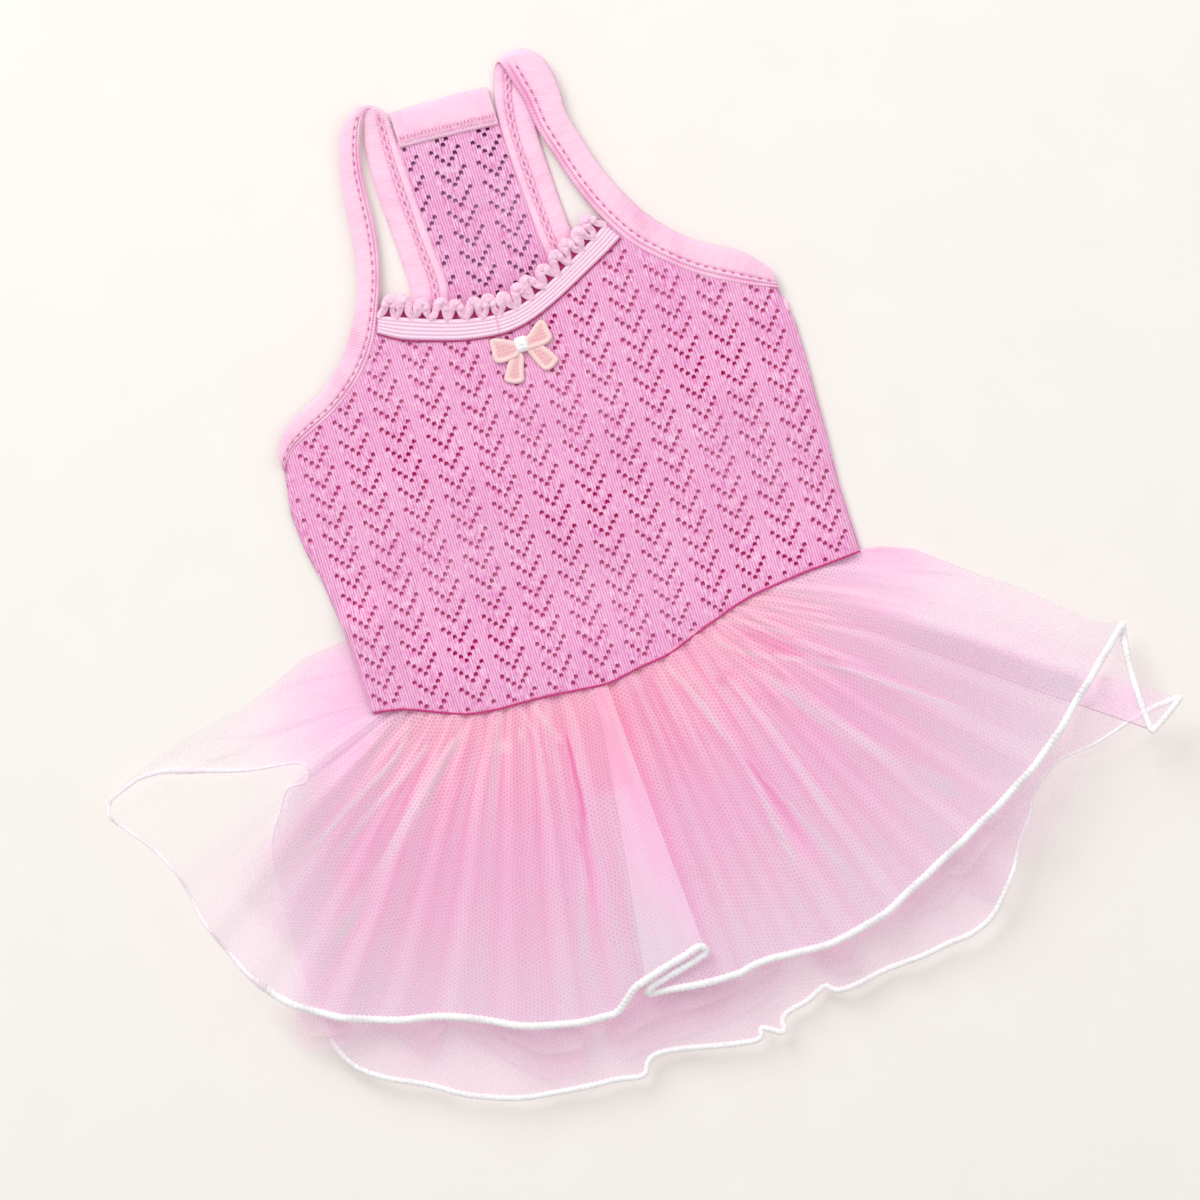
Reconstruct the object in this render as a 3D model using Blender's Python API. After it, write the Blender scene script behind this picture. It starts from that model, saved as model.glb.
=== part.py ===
"""Ballet tutu dress for a small pet or doll, laid flat with its front up.

Frame: X across the garment, +Y towards the neck, +Z up, floor at Z = 0.
Every size in the tables is in millimetres, and MM turns them to metres. The tables'
X and Y start at the bodice's middle, and MIDDLE moves them to the outline's middle.

The bodice is a front and a back panel lying on each other, each armhole has one
binding that also makes the shoulder strap, and the skirt is a tube of tulle with
a plain net tube inside it, both flattened and gathered into the waist seam.
"""
import math

import bmesh
import bpy
import numpy as np

MM = 0.001
MIDDLE = (-3.2, 0.9)  # middle of the whole outline, in the tables' X and Y

# Driving dimensions, mm
KNIT = 1.2  # pointelle knit panels
BINDING = 1.9  # jersey binding, folded round the edge
ELASTIC = 1.0
TULLE = 1.0
GAP = 0.3  # between pieces that touch or are sewn together
SEAM_GAP = 0.7  # waist seam, from a panel's edge to the skirt
BACK_BINDING_Z = BINDING / 2
FRONT_Z = BINDING + GAP  # the front panel lies on the back binding
FRONT_BINDING_Z = FRONT_Z + BINDING / 2
SIDE_Z = KNIT + GAP  # the front panel at the side seams
WAIST_PUFF = 1.4  # the front panel rises onto the gathered layers
LIFT = 3.3  # the bodice corner that lies on the skirt's left wing
CORNER_GAP = 0.7  # more room between the panels where that corner bends up

# Fan of the skirt: one line a row, from the waist seam to the front hem
FAN = (
    # waist x, y, hem x, y
    (-76.0, -4.0, -174.5, -29.0),
    (-79.5, -18.0, -177.0, -35.5),
    (-81.0, -27.0, -168.0, -47.0),
    (-76.5, -27.6, -160.5, -60.0),
    (-71.0, -28.8, -155.5, -81.0),
    (-64.5, -31.4, -144.0, -105.0),
    (-57.5, -34.3, -129.0, -118.5),
    (-50.0, -36.9, -108.0, -127.8),
    (-42.0, -38.0, -85.0, -133.5),
    (-34.0, -38.3, -62.0, -144.0),
    (-24.0, -38.8, -40.0, -148.3),
    (-13.0, -39.8, -18.0, -148.0),
    (-2.0, -40.6, 3.0, -148.4),
    (10.0, -38.6, 22.0, -146.3),
    (20.0, -37.3, 42.0, -147.3),
    (29.0, -34.2, 62.0, -143.6),
    (35.0, -32.0, 80.0, -135.3),
    (39.5, -30.6, 98.0, -126.3),
    (43.5, -29.2, 116.0, -116.6),
    (48.5, -27.7, 134.0, -104.8),
    (57.0, -26.0, 149.0, -91.3),
    (72.0, -24.4, 161.0, -80.7),
    (92.6, -23.0, 170.0, -73.0),
)
FAN_END = len(FAN) - 1

# How far the wings' folded edges bow up from their straight fan lines
FLARE = (
    # reach, left wing, right wing
    (0.00, 0.0, 0.0),
    (0.09, 5.0, 3.6),
    (0.23, 7.0, 6.3),
    (0.35, 4.8, 4.9),
    (0.48, 3.4, 3.5),
    (0.63, 4.2, 3.0),
    (0.76, 4.6, 0.0),
    (0.90, 3.2, -2.3),
    (1.00, 0.6, 0.0),
)
FLARE_FADE = ((0.0, 1.0), (1.0, 0.6), (2.0, 0.2), (3.0, 0.0))  # fan lines from the fold, share

# Pleats of the skirt, the same in every layer
PLEATS = (
    # fan line, rise at the waist, rise at the hem
    (0.0, 0.3, 0.8),
    (0.9, 0.4, 1.6),
    (1.8, 0.6, 2.4),
    (2.9, 0.8, 2.0),
    (4.0, 1.2, 4.6),
    (4.8, 1.0, 3.0),
    (5.6, 0.9, 2.6),
    (6.4, 1.3, 4.8),
    (7.3, 0.9, 2.6),
    (8.1, 1.1, 3.4),
    (8.9, 0.8, 2.4),
    (9.8, 1.3, 4.2),
    (10.8, 0.9, 2.4),
    (11.6, 0.9, 1.8),
    (12.5, 1.1, 3.2),
    (13.3, 0.8, 2.4),
    (14.1, 1.2, 4.2),
    (15.2, 1.3, 5.0),
    (16.0, 0.8, 2.8),
    (16.9, 1.0, 3.8),
    (17.7, 0.8, 2.6),
    (18.5, 1.1, 4.2),
    (19.4, 0.8, 2.8),
    (20.3, 0.8, 3.2),
    (21.2, 0.6, 2.2),
    (22.0, 0.3, 0.8),
)

# The large pleat of the outer tier folds over itself: its strip runs right, turns back
# left underneath, and turns right again
FOLD_OVER = (
    # reach, fan line it starts at, fan line of its right edge, underlap, turn radius
    (0.0, 10.35, 11.96, 2.0, 0.78),
    (0.3, 10.30, 11.97, 6.0, 1.0),
    (1.0, 10.28, 12.03, 18.8, 1.1),
)
FOLD_OVER_END = 12.45  # fan line
FOLD_OVER_PARTS = (
    # part, columns, hem reach at its start and at its end
    ("rise", 5, 1.002, 0.925),
    ("top", 3, 0.925, 0.884),
    ("right turn", 4, 0.884, 0.893),
    ("middle", 3, 0.893, 0.962),
    ("left turn", 4, 0.962, 0.985),
    ("bottom", 5, 0.985, 1.003),
)

# Back half of the outer tier: where its overlocked hem runs
BACK_HEM = (
    # fan line, reach
    (0.0, 1.00), (0.4, 0.90), (0.9, 0.74), (1.4, 0.62), (1.9, 0.50), (2.7, 0.42),
    (3.4, 0.50), (4.2, 0.66), (5.2, 0.86), (6.05, 1.00), (6.33, 1.074), (6.66, 1.14),
    (7.0, 1.177), (7.8, 1.228), (8.2, 1.249), (8.6, 1.241), (9.3, 1.211), (10.1, 1.199),
    (10.55, 1.215), (10.65, 1.18), (10.9, 1.166), (11.8, 1.20), (12.34, 1.221),
    (12.44, 1.191), (12.77, 1.234), (12.85, 1.188), (13.3, 1.161), (13.68, 1.124),
    (13.85, 1.149), (14.7, 1.148), (15.6, 1.195), (16.0, 1.224), (16.4, 1.229),
    (16.8, 1.20), (17.2, 1.163), (17.5, 1.125), (17.95, 1.088), (18.2, 1.058),
    (18.8, 1.05), (19.5, 1.13), (19.8, 1.227), (20.3, 1.158), (21.0, 1.078), (22.0, 1.00),
)

# Plain net tube inside the outer tier: its raw edge, cut square across its folds
NET_HEM = (
    # fan line, back reach, front reach
    (3.25, 0.50, 0.50), (3.45, 0.54, 0.53), (3.6, 0.66, 0.64), (3.8, 0.86, 0.84),
    (4.6, 0.85, 0.83), (5.2, 0.86, 0.84), (5.5, 0.95, 0.93), (5.9, 1.13, 1.08),
    (6.2, 1.12, 1.07), (6.9, 1.06, 1.02), (7.2, 1.04, 1.00), (7.75, 1.15, 1.09),
    (7.95, 1.03, 1.00), (8.6, 1.10, 1.04), (9.2, 1.17, 1.09), (9.8, 1.15, 1.08),
    (9.9, 1.02, 1.01), (10.12, 1.01, 1.00), (10.2, 1.15, 1.09), (10.8, 1.14, 1.06),
    (11.6, 1.135, 1.06), (12.4, 1.12, 1.05), (13.05, 1.10, 1.04), (13.15, 1.02, 1.01),
    (13.7, 1.02, 1.01), (13.8, 1.09, 1.05), (14.35, 1.11, 1.05), (14.45, 1.04, 1.02),
    (15.2, 1.05, 1.02), (16.0, 1.10, 1.04), (16.45, 1.10, 1.05), (16.52, 1.20, 1.08),
    (17.2, 1.15, 1.06), (17.6, 1.19, 1.07), (18.1, 1.175, 1.06), (18.7, 1.14, 1.04),
    (19.3, 1.115, 1.02), (19.8, 1.07, 1.00), (20.4, 0.98, 0.96),
)

# Heights of the skirt's layers: centre at the waist, added at the hem, share of a pleat
OUTER_BACK = (0.5, 0.0, 0.35)
NET_BACK = (1.95, 0.4, 0.45)
NET_FRONT = (3.35, 1.2, 0.7)
OUTER_FRONT = (4.85, 2.4, 1.0)
WING_FOLD = 1.6  # between the outer tier's two walls at a wing's folded edge
HEM_LOFT = 3.0  # the springy hems stand off the floor
RIGHT_LOFT = 4.5  # and higher at the right wing
OUTER_ROWS = (0.0, 0.06, 0.16, 0.26, 0.35, 0.45, 0.56, 0.68, 0.80, 0.91, 1.0)
NET_ROWS = (0.03, 0.12, 0.32, 0.56, 0.80, 1.0)
TURN_STEPS = 4  # a wing's folded edge, columns in its half turn
LEFT_INSET = 0.26  # fan lines from the folded edge to the next column
RIGHT_INSET = 0.14

FRONT_TOP = (
    # bottom x, top x, top y: armhole, neck and armhole, left to right
    (-82.0, -86.4, 58.6),
    (-79.0, -81.6, 64.4),
    (-75.0, -75.2, 68.2),
    (-69.0, -64.2, 73.4),
    (-62.0, -53.2, 81.4),
    (-56.0, -44.8, 91.4),
    (-50.0, -40.6, 99.2),
    (-41.0, -35.0, 96.8),
    (-31.0, -27.0, 93.9),
    (-21.0, -18.5, 91.1),
    (-11.0, -9.5, 88.9),
    (-2.0, -1.5, 87.5),
    (7.0, 6.0, 88.0),
    (16.0, 14.0, 90.6),
    (25.0, 22.0, 94.4),
    (34.0, 31.0, 99.3),
    (43.0, 38.0, 103.2),
    (51.0, 43.6, 106.4),
    (58.0, 49.6, 97.6),
    (65.0, 57.4, 89.4),
    (73.0, 66.2, 82.6),
    (80.0, 76.0, 76.0),
    (87.0, 85.0, 72.4),
    (93.0, 92.4, 69.3),
)
FRONT_ROWS = (0.0, 0.06, 0.12, 0.18, 0.25, 0.33, 0.42, 0.55, 0.70, 0.85, 1.0)  # share of a column
SIDE_BOW = (
    # y, left bow, right bow of the side seams
    (-26.0, 0.0, 0.0),
    (0.0, 0.3, -0.3),
    (20.0, -0.6, 0.9),
    (32.0, -2.1, 1.3),
    (45.0, -2.4, 2.0),
    (58.6, 0.0, 2.0),
    (69.3, 0.0, 0.0),
)

BACK_SIDES = (
    # y, left x, right x: side seams, armholes and the narrow back up to the neck
    (-26.0, -82.0, 93.0),
    (-19.0, -82.2, 92.9),
    (-12.0, -82.4, 92.7),
    (-6.0, -82.6, 92.5),
    (0.0, -82.8, 92.4),
    (6.0, -83.2, 92.6),
    (12.0, -83.8, 93.0),
    (20.0, -84.6, 93.4),
    (34.0, -86.8, 94.0),
    (48.0, -87.4, 94.4),
    (55.2, -86.2, 94.0),
    (57.4, -75.0, 81.0),
    (60.4, -65.0, 70.5),
    (66.8, -45.6, 51.0),
    (76.4, -29.0, 34.6),
    (88.0, -18.4, 24.4),
    (103.0, -14.4, 19.8),
    (115.0, -14.8, 18.7),
    (127.0, -15.5, 18.1),
    (140.0, -16.0, 17.6),
    (151.8, -16.3, 17.9),
)
BACK_TOP_SLANT = 1.2  # the neck edge is this much higher at its left end, lower at its right
BACK_COLUMNS = (0.0, 0.025, 0.05, 0.08, 0.11, 0.15, 0.25, 0.37, 0.5, 0.63, 0.76, 0.88, 1.0)

LEFT_STRAP = (
    # outer x, y, inner x, y, centre z: front armhole, strap, crown, back armhole
    (-86.6, 66.0, -86.6, 60.0, FRONT_BINDING_Z),
    (-83.6, 71.0, -81.9, 65.5, FRONT_BINDING_Z),
    (-78.0, 76.0, -75.5, 69.0, FRONT_BINDING_Z),
    (-66.5, 81.8, -63.8, 74.5, FRONT_BINDING_Z),
    (-57.5, 89.5, -53.0, 82.3, FRONT_BINDING_Z),
    (-50.5, 98.8, -44.7, 92.6, FRONT_BINDING_Z),
    (-46.0, 107.5, -39.3, 104.5, FRONT_BINDING_Z),
    (-43.2, 115.5, -35.8, 114.0, 3.0),
    (-41.8, 123.0, -33.8, 122.0, 2.8),
    (-41.0, 131.0, -33.1, 131.0, 2.9),
    (-40.0, 140.0, -33.0, 140.0, 3.4),
    (-39.0, 150.0, -32.8, 150.0, 4.1),
    (-37.2, 158.5, -31.6, 158.5, 4.7),
    (-34.5, 164.0, -27.8, 165.0, 5.0),
    (-31.3, 167.6, -23.3, 168.8, 4.4),
    (-29.3, 168.8, -20.8, 169.6, 2.9),
    (-28.0, 167.2, -18.8, 168.0, 1.4),
    (-27.2, 164.0, -17.8, 164.3, BACK_BINDING_Z),
    (-28.0, 157.5, -17.0, 155.0, BACK_BINDING_Z),
    (-28.5, 145.0, -16.6, 142.0, BACK_BINDING_Z),
    (-28.0, 130.0, -16.1, 127.0, BACK_BINDING_Z),
    (-27.4, 118.0, -15.4, 115.0, BACK_BINDING_Z),
    (-27.5, 106.0, -15.0, 103.0, BACK_BINDING_Z),
    (-31.0, 94.5, -19.6, 88.4, BACK_BINDING_Z),
    (-38.5, 84.8, -30.0, 77.8, BACK_BINDING_Z),
    (-50.0, 76.8, -46.2, 68.8, BACK_BINDING_Z),
    (-67.0, 70.4, -65.6, 62.4, BACK_BINDING_Z),
    (-86.0, 65.2, -86.0, 57.4, BACK_BINDING_Z),
)
RIGHT_STRAP = (
    # outer x, y, inner x, y, centre z
    (91.8, 77.0, 92.6, 70.0, FRONT_BINDING_Z),
    (84.0, 85.6, 80.5, 75.0, FRONT_BINDING_Z),
    (70.0, 94.0, 66.5, 83.2, FRONT_BINDING_Z),
    (60.5, 103.0, 54.5, 93.4, FRONT_BINDING_Z),
    (54.5, 111.0, 48.0, 100.6, FRONT_BINDING_Z),
    (49.5, 120.5, 42.0, 110.5, FRONT_BINDING_Z),
    (46.0, 129.5, 37.0, 122.0, 3.0),
    (43.2, 139.5, 33.0, 135.0, 3.0),
    (41.0, 148.5, 30.0, 145.5, 3.5),
    (40.0, 157.0, 27.8, 155.5, 4.3),
    (38.8, 163.5, 26.0, 162.0, 4.8),
    (37.5, 168.0, 24.5, 167.3, 5.0),
    (35.5, 171.6, 23.0, 170.8, 4.4),
    (33.0, 172.9, 21.5, 172.0, 2.9),
    (30.2, 171.2, 20.3, 171.0, 1.4),
    (28.2, 167.5, 19.5, 167.5, BACK_BINDING_Z),
    (28.2, 157.0, 18.6, 157.0, BACK_BINDING_Z),
    (29.8, 146.0, 18.1, 145.0, BACK_BINDING_Z),
    (30.0, 131.0, 18.6, 130.0, BACK_BINDING_Z),
    (30.4, 120.0, 19.2, 118.0, BACK_BINDING_Z),
    (31.2, 109.0, 20.4, 104.5, BACK_BINDING_Z),
    (34.5, 97.0, 25.5, 89.6, BACK_BINDING_Z),
    (42.5, 86.6, 35.8, 78.4, BACK_BINDING_Z),
    (56.0, 77.0, 52.0, 69.0, BACK_BINDING_Z),
    (74.0, 70.6, 71.8, 62.4, BACK_BINDING_Z),
    (94.0, 66.0, 94.0, 57.8, BACK_BINDING_Z),
)
STRAP_STEPS = 2  # stations between two rows

ELASTIC_BAND = (
    # bottom x, y, top x, y
    (-42.5, 95.4, -40.2, 100.8),
    (-35.0, 91.0, -32.5, 98.0),
    (-25.0, 87.5, -22.5, 94.3),
    (-15.0, 84.6, -13.5, 91.6),
    (-5.0, 83.0, -4.5, 89.8),
    (2.0, 82.9, 2.0, 89.5),
    (10.0, 84.6, 8.5, 90.7),
    (20.0, 88.6, 17.0, 94.0),
    (30.0, 93.6, 26.5, 98.9),
    (40.0, 98.7, 36.5, 104.4),
    (46.1, 102.2, 42.3, 108.2),
)
PICOTS = 15
PICOT_HEIGHT = 5.5
PICOT = (
    # along the pitch 0 to 1, share of the height: a loop with a narrow neck
    (0.16, 0.04), (0.19, 0.38), (0.07, 0.60), (0.10, 0.86), (0.30, 1.00),
    (0.70, 1.00), (0.90, 0.86), (0.93, 0.60), (0.81, 0.38), (0.84, 0.04),
)

NECK_BAND = (
    # x, lower y, upper y
    (-16.6, 153.3, 165.7),
    (-5.0, 152.7, 165.7),
    (7.0, 151.9, 165.3),
    (17.9, 151.0, 164.5),
)

BOW = (
    # x, y round the embroidered bow, anticlockwise from the dip above its knot
    (3.2, 79.8), (0.8, 80.9), (-2.2, 82.0), (-5.6, 82.3), (-7.5, 80.9), (-7.3, 77.8),
    (-6.6, 74.8), (-4.6, 73.5), (-1.6, 74.3), (-3.6, 71.6), (-5.5, 68.4), (-4.9, 66.3),
    (-2.3, 65.4), (-0.3, 66.5), (0.9, 70.3), (2.3, 73.6), (3.6, 74.7), (5.2, 73.4),
    (7.3, 69.5), (9.1, 66.9), (11.5, 66.3), (13.6, 67.8), (13.2, 70.3), (10.8, 73.0),
    (8.9, 74.7), (11.2, 74.6), (13.2, 75.8), (14.2, 79.4), (13.2, 82.7), (10.6, 83.8),
    (7.8, 82.5), (5.2, 80.6),
)
BOW_HEIGHT = 1.2
BOW_RIM = (0.9, 0.4)  # padded rim, width and rise
KNOT_AT = (3.4, 77.4)
KNOT_SIZE = (4.8, 5.0, 1.4)  # width, length, rise above the bow


def smooth(value):
    """0 below 0, 1 above 1, and an even curve between."""
    value = min(1.0, max(0.0, value))
    return value * value * (3.0 - 2.0 * value)


def at(table, position, column=1):
    """Reads a table's column at a position of its first column, in straight lines."""
    rows = np.asarray(table, dtype=float)
    return float(np.interp(position, rows[:, 0], rows[:, column]))


def rounded(rows, steps):
    """The rows of a table with `steps` spans between each two, on a smooth curve."""
    rows = np.asarray(rows, dtype=float)
    ends = np.vstack((2 * rows[0] - rows[1], rows, 2 * rows[-1] - rows[-2]))
    out = []
    for a, b, c, d in zip(ends, ends[1:], ends[2:], ends[3:]):
        for step in range(steps):
            t = step / steps
            out.append(
                b
                + 0.5 * t * (c - a)
                + 0.5 * t**2 * (2 * a - 5 * b + 4 * c - d)
                + 0.5 * t**3 * (3 * b - a - 3 * c + d)
            )
    out.append(rows[-1])
    return np.array(out)


def placed(point):
    """A point of the tables, in metres from the outline's middle."""
    x, y, z = point
    return ((x - MIDDLE[0]) * MM, (y - MIDDLE[1]) * MM, z * MM)


def add_object(name, points, faces, finish):
    """A closed mesh from points in mm, with its faces turned out."""
    mesh = bpy.data.meshes.new(name)
    mesh.from_pydata([placed(point) for point in points], [], faces)
    shape = bmesh.new()
    shape.from_mesh(mesh)
    bmesh.ops.recalc_face_normals(shape, faces=shape.faces)
    shape.to_mesh(mesh)
    shape.free()
    mesh.shade_smooth()
    mesh.set_sharp_from_angle(angle=math.radians(50))
    mesh.materials.append(finish)
    ob = bpy.data.objects.new(name, mesh)
    bpy.context.collection.objects.link(ob)
    return ob


def wall(name, lower, upper, finish, ring=False):
    """A wall between two grids of points, rows by columns. A ring's columns close up."""
    lower, upper = np.asarray(lower), np.asarray(upper)
    rows, columns = lower.shape[:2]
    points = np.vstack((lower.reshape(-1, 3), upper.reshape(-1, 3)))
    half = rows * columns

    def index(side, row, column):
        return side * half + row * columns + column % columns

    faces = []
    spans = columns if ring else columns - 1
    for column in range(spans):
        for row in range(rows - 1):
            for side in (0, 1):
                corners = [(row, column), (row, column + 1), (row + 1, column + 1), (row + 1, column)]
                face = [index(side, *corner) for corner in corners]
                faces.append(face if side else face[::-1])
        for row in (0, rows - 1):
            faces.append([
                index(0, row, column), index(0, row, column + 1),
                index(1, row, column + 1), index(1, row, column),
            ])
    if not ring:
        for column in (0, columns - 1):
            for row in range(rows - 1):
                faces.append([
                    index(0, row, column), index(0, row + 1, column),
                    index(1, row + 1, column), index(1, row, column),
                ])
    return add_object(name, points, faces, finish)


def thickened(middle, thickness, ring, along=None):
    """The two faces of a wall round its middle surface, rows by columns.

    `along` gives each point's direction down the cloth, where the rows run askew.
    """
    middle = np.asarray(middle)
    down = np.gradient(middle, axis=0) if along is None else np.asarray(along)
    if ring:
        ends = np.concatenate((middle[:, -1:], middle, middle[:, :1]), axis=1)
    else:
        first, last = 2 * middle[:, :1] - middle[:, 1:2], 2 * middle[:, -1:] - middle[:, -2:-1]
        ends = np.concatenate((first, middle, last), axis=1)
    steps = np.diff(ends, axis=1)
    normals = np.cross(np.stack((down, down), axis=2), np.stack((steps[:, :-1], steps[:, 1:]), axis=2))
    normals /= np.linalg.norm(normals, axis=3, keepdims=True)
    normal = normals.sum(axis=2)
    normal /= np.linalg.norm(normal, axis=2, keepdims=True)
    return middle - normal * thickness / 2, middle + normal * thickness / 2


def slab(name, outline, lowest, highest, finish, rim=None):
    """A flat piece cut to an outline. A rim (width, rise) raises its border."""
    shape = bmesh.new()
    ring = [shape.verts.new(placed((x, y, lowest))) for x, y in outline]
    base = shape.faces.new(ring)
    grown = bmesh.ops.extrude_face_region(shape, geom=[base])
    top_points = [item for item in grown["geom"] if isinstance(item, bmesh.types.BMVert)]
    bmesh.ops.translate(shape, verts=top_points, vec=(0, 0, (highest - lowest) * MM))
    if rim:
        top = [item for item in grown["geom"] if isinstance(item, bmesh.types.BMFace)]
        for width, rise in ((rim[0] / 2, rim[1]), (rim[0] / 2, -rim[1])):
            bmesh.ops.inset_region(shape, faces=top, thickness=width * MM, use_even_offset=False)
            bmesh.ops.translate(
                shape, verts=[vert for face in top for vert in face.verts], vec=(0, 0, rise * MM)
            )
    mesh = bpy.data.meshes.new(name)
    bmesh.ops.recalc_face_normals(shape, faces=shape.faces)
    shape.to_mesh(mesh)
    shape.free()
    mesh.materials.append(finish)
    ob = bpy.data.objects.new(name, mesh)
    bpy.context.collection.objects.link(ob)
    return ob


def waist_y(x):
    """The waist seam's height on the garment, along the fan's upper ends."""
    seam = FAN[2:]
    return float(np.interp(x, [row[0] for row in seam], [row[1] for row in seam]))


def fan_point(line, reach):
    """The point in plan at a place between fan lines, and a share of the way to the hem."""
    line = min(float(FAN_END), max(0.0, line))
    first = min(FAN_END - 1, int(line))
    share = line - first
    row = np.asarray(FAN[first]) * (1 - share) + np.asarray(FAN[first + 1]) * share
    x, y = row[:2] * (1 - reach) + row[2:] * reach
    y += at(FLARE, reach, 1) * at(FLARE_FADE, line)
    y += at(FLARE, reach, 2) * at(FLARE_FADE, FAN_END - line)
    return x, y


def pleat(line, reach):
    """How far the pleats raise the skirt there."""
    crests = [row[0] for row in PLEATS]
    after = min(len(crests) - 1, max(1, int(np.searchsorted(crests, line, side="right"))))
    phase = (line - crests[after - 1]) / (crests[after] - crests[after - 1])
    waist, hem = at(PLEATS, line, 1), at(PLEATS, line, 2)
    share = min(1.0, reach) ** 0.7
    rise = (waist * (1 - share) + hem * share) * (0.5 + 0.5 * math.cos(2 * math.pi * phase))
    under_bodice = max(smooth((line - 1.0) / 2.0), smooth((reach - 0.15) / 0.35))
    return rise * under_bodice


def fullness(line):
    """1 where all four layers lie on each other, falling to 0 at the wings' folded edges."""
    return smooth((line - 1.7) / 1.2) * smooth((FAN_END - line) / 1.4)


def height(layer, line, reach):
    """Centre height of a layer of the skirt."""
    waist, hem, share = layer
    folded = OUTER_BACK[0] + (WING_FOLD if layer is OUTER_FRONT else 0.0)
    base = folded + (waist + hem * min(1.2, reach) - folded) * fullness(line)
    if layer in (NET_BACK, NET_FRONT):
        base = waist + hem * min(1.2, reach)
    spring = (max(0.0, reach - 0.35) / 0.65) ** 2
    loft = (HEM_LOFT + RIGHT_LOFT * smooth((line - 15.0) / 4.0)) * spring
    return base + loft + share * pleat(line, reach)


def crest_lines(steps, first, last):
    """Fan lines at each pleat's crest and at `steps` even places before the next."""
    crests = [row[0] for row in PLEATS]
    lines = [
        start + (end - start) * step / steps
        for start, end in zip(crests, crests[1:])
        for step in range(steps)
    ]
    return [line for line in lines + [crests[-1]] if first <= line <= last]


def spaced(lines, kept, least=0.16):
    """The kept lines, and the others that lie clear of them."""
    clear = [line for line in lines if all(abs(line - other) > least for other in kept)]
    return sorted(clear + list(kept))


def fan_direction(line):
    """Unit direction of a fan line in plan, from the waist to the hem."""
    first = min(FAN_END - 1, int(line))
    row = np.asarray(FAN[first]) + (np.asarray(FAN[first + 1]) - FAN[first]) * (line - first)
    direction = np.array((row[2] - row[0], row[3] - row[1], 0.0))
    return direction / np.linalg.norm(direction)


def half_turn(line, front, back, rows, reaches, outward):
    """Columns round a folded edge, from the first layer to the second."""
    columns = []
    for step in range(1, TURN_STEPS):
        angle = math.pi * step / TURN_STEPS
        along = fan_direction(line)
        side = np.array((along[1], -along[0])) * outward
        column = []
        for row in rows:
            reach = row * reaches
            low = height(back, line, reach)
            high = height(front, line, reach)
            radius = abs(high - low) / 2
            start, end = (high, low) if outward < 0 else (low, high)
            z = (start + end) / 2 + (start - end) / 2 * math.cos(angle)
            x, y = np.array(fan_point(line, reach)) + side * radius * (math.sin(angle) - 1.0)
            column.append((x, y, z, *along))
        columns.append(column)
    return columns


def column_of(layer, line, reach, rows):
    """A plain column of a layer, from the waist to the hem: points and directions."""
    return [
        (*fan_point(line, row * reach), height(layer, line, row * reach), *fan_direction(line))
        for row in rows
    ]


def folded_columns(rows):
    """The columns of the pleat that folds over itself."""
    grid = []
    for row in rows:
        start, edge, underlap, radius = (at(FOLD_OVER, row, column) for column in (1, 2, 3, 4))
        left, right = fan_point(edge - 0.5, row), fan_point(edge + 0.5, row)
        per_line = math.hypot(right[0] - left[0], right[1] - left[1])
        right_centre = edge - (radius + TULLE / 2) / per_line
        left_centre = right_centre - underlap / per_line
        risen = left_centre - (radius + TULLE + GAP) / per_line
        points = []
        for part, columns, first, last in FOLD_OVER_PARTS:
            for column in range(columns + (part == "bottom")):
                share = column / columns
                angle = math.pi * share
                line, lift = {
                    "rise": (start + (risen - start) * share, 4 * smooth(share)),
                    "top": (risen + (right_centre - risen) * share, 4),
                    "right turn": (right_centre + radius * math.sin(angle) / per_line,
                                   3 + math.cos(angle)),
                    "middle": (right_centre + (left_centre - right_centre) * share, 2),
                    "left turn": (left_centre - radius * math.sin(angle) / per_line,
                                  1 + math.cos(angle)),
                    "bottom": (left_centre + (FOLD_OVER_END - left_centre) * share, 0),
                }[part]
                reach = row * (first + (last - first) * (smooth(share) if part == "rise" else share))
                z = height(OUTER_FRONT, line, reach) + lift * radius
                points.append((*fan_point(line, reach), z, *fan_direction(line)))
        grid.append(points)
    return np.array(grid).transpose(1, 0, 2).tolist()


def outer_tier(finish):
    """The outer tier: a flattened tube of tulle, its front half up."""
    rows = OUTER_ROWS
    lines = spaced(crest_lines(4, 0.3, FAN_END - 0.3), [LEFT_INSET, FAN_END - RIGHT_INSET])
    columns = [
        column_of(OUTER_FRONT, line, 1.0, rows) for line in lines if line < FOLD_OVER[2][1] - 0.12
    ]
    columns += folded_columns(rows)
    columns += [
        column_of(OUTER_FRONT, line, 1.0, rows) for line in lines if line > FOLD_OVER_END + 0.12
    ]
    columns += half_turn(FAN_END, OUTER_FRONT, OUTER_BACK, rows, 1.0, -1)
    kept = [row[0] for row in BACK_HEM if LEFT_INSET < row[0] < FAN_END - RIGHT_INSET]
    back = spaced(crest_lines(2, 0.5, FAN_END - 0.3), kept)
    columns += [
        column_of(OUTER_BACK, line, at(BACK_HEM, line), rows)
        for line in [FAN_END - RIGHT_INSET] + back[::-1] + [LEFT_INSET]
    ]
    columns += half_turn(0.0, OUTER_FRONT, OUTER_BACK, rows, 1.0, 1)
    middle, along = np.split(np.array(columns).transpose(1, 0, 2), 2, axis=2)
    return wall("outer_tulle_tier", *thickened(middle, TULLE, True, along), finish, ring=True)


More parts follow.
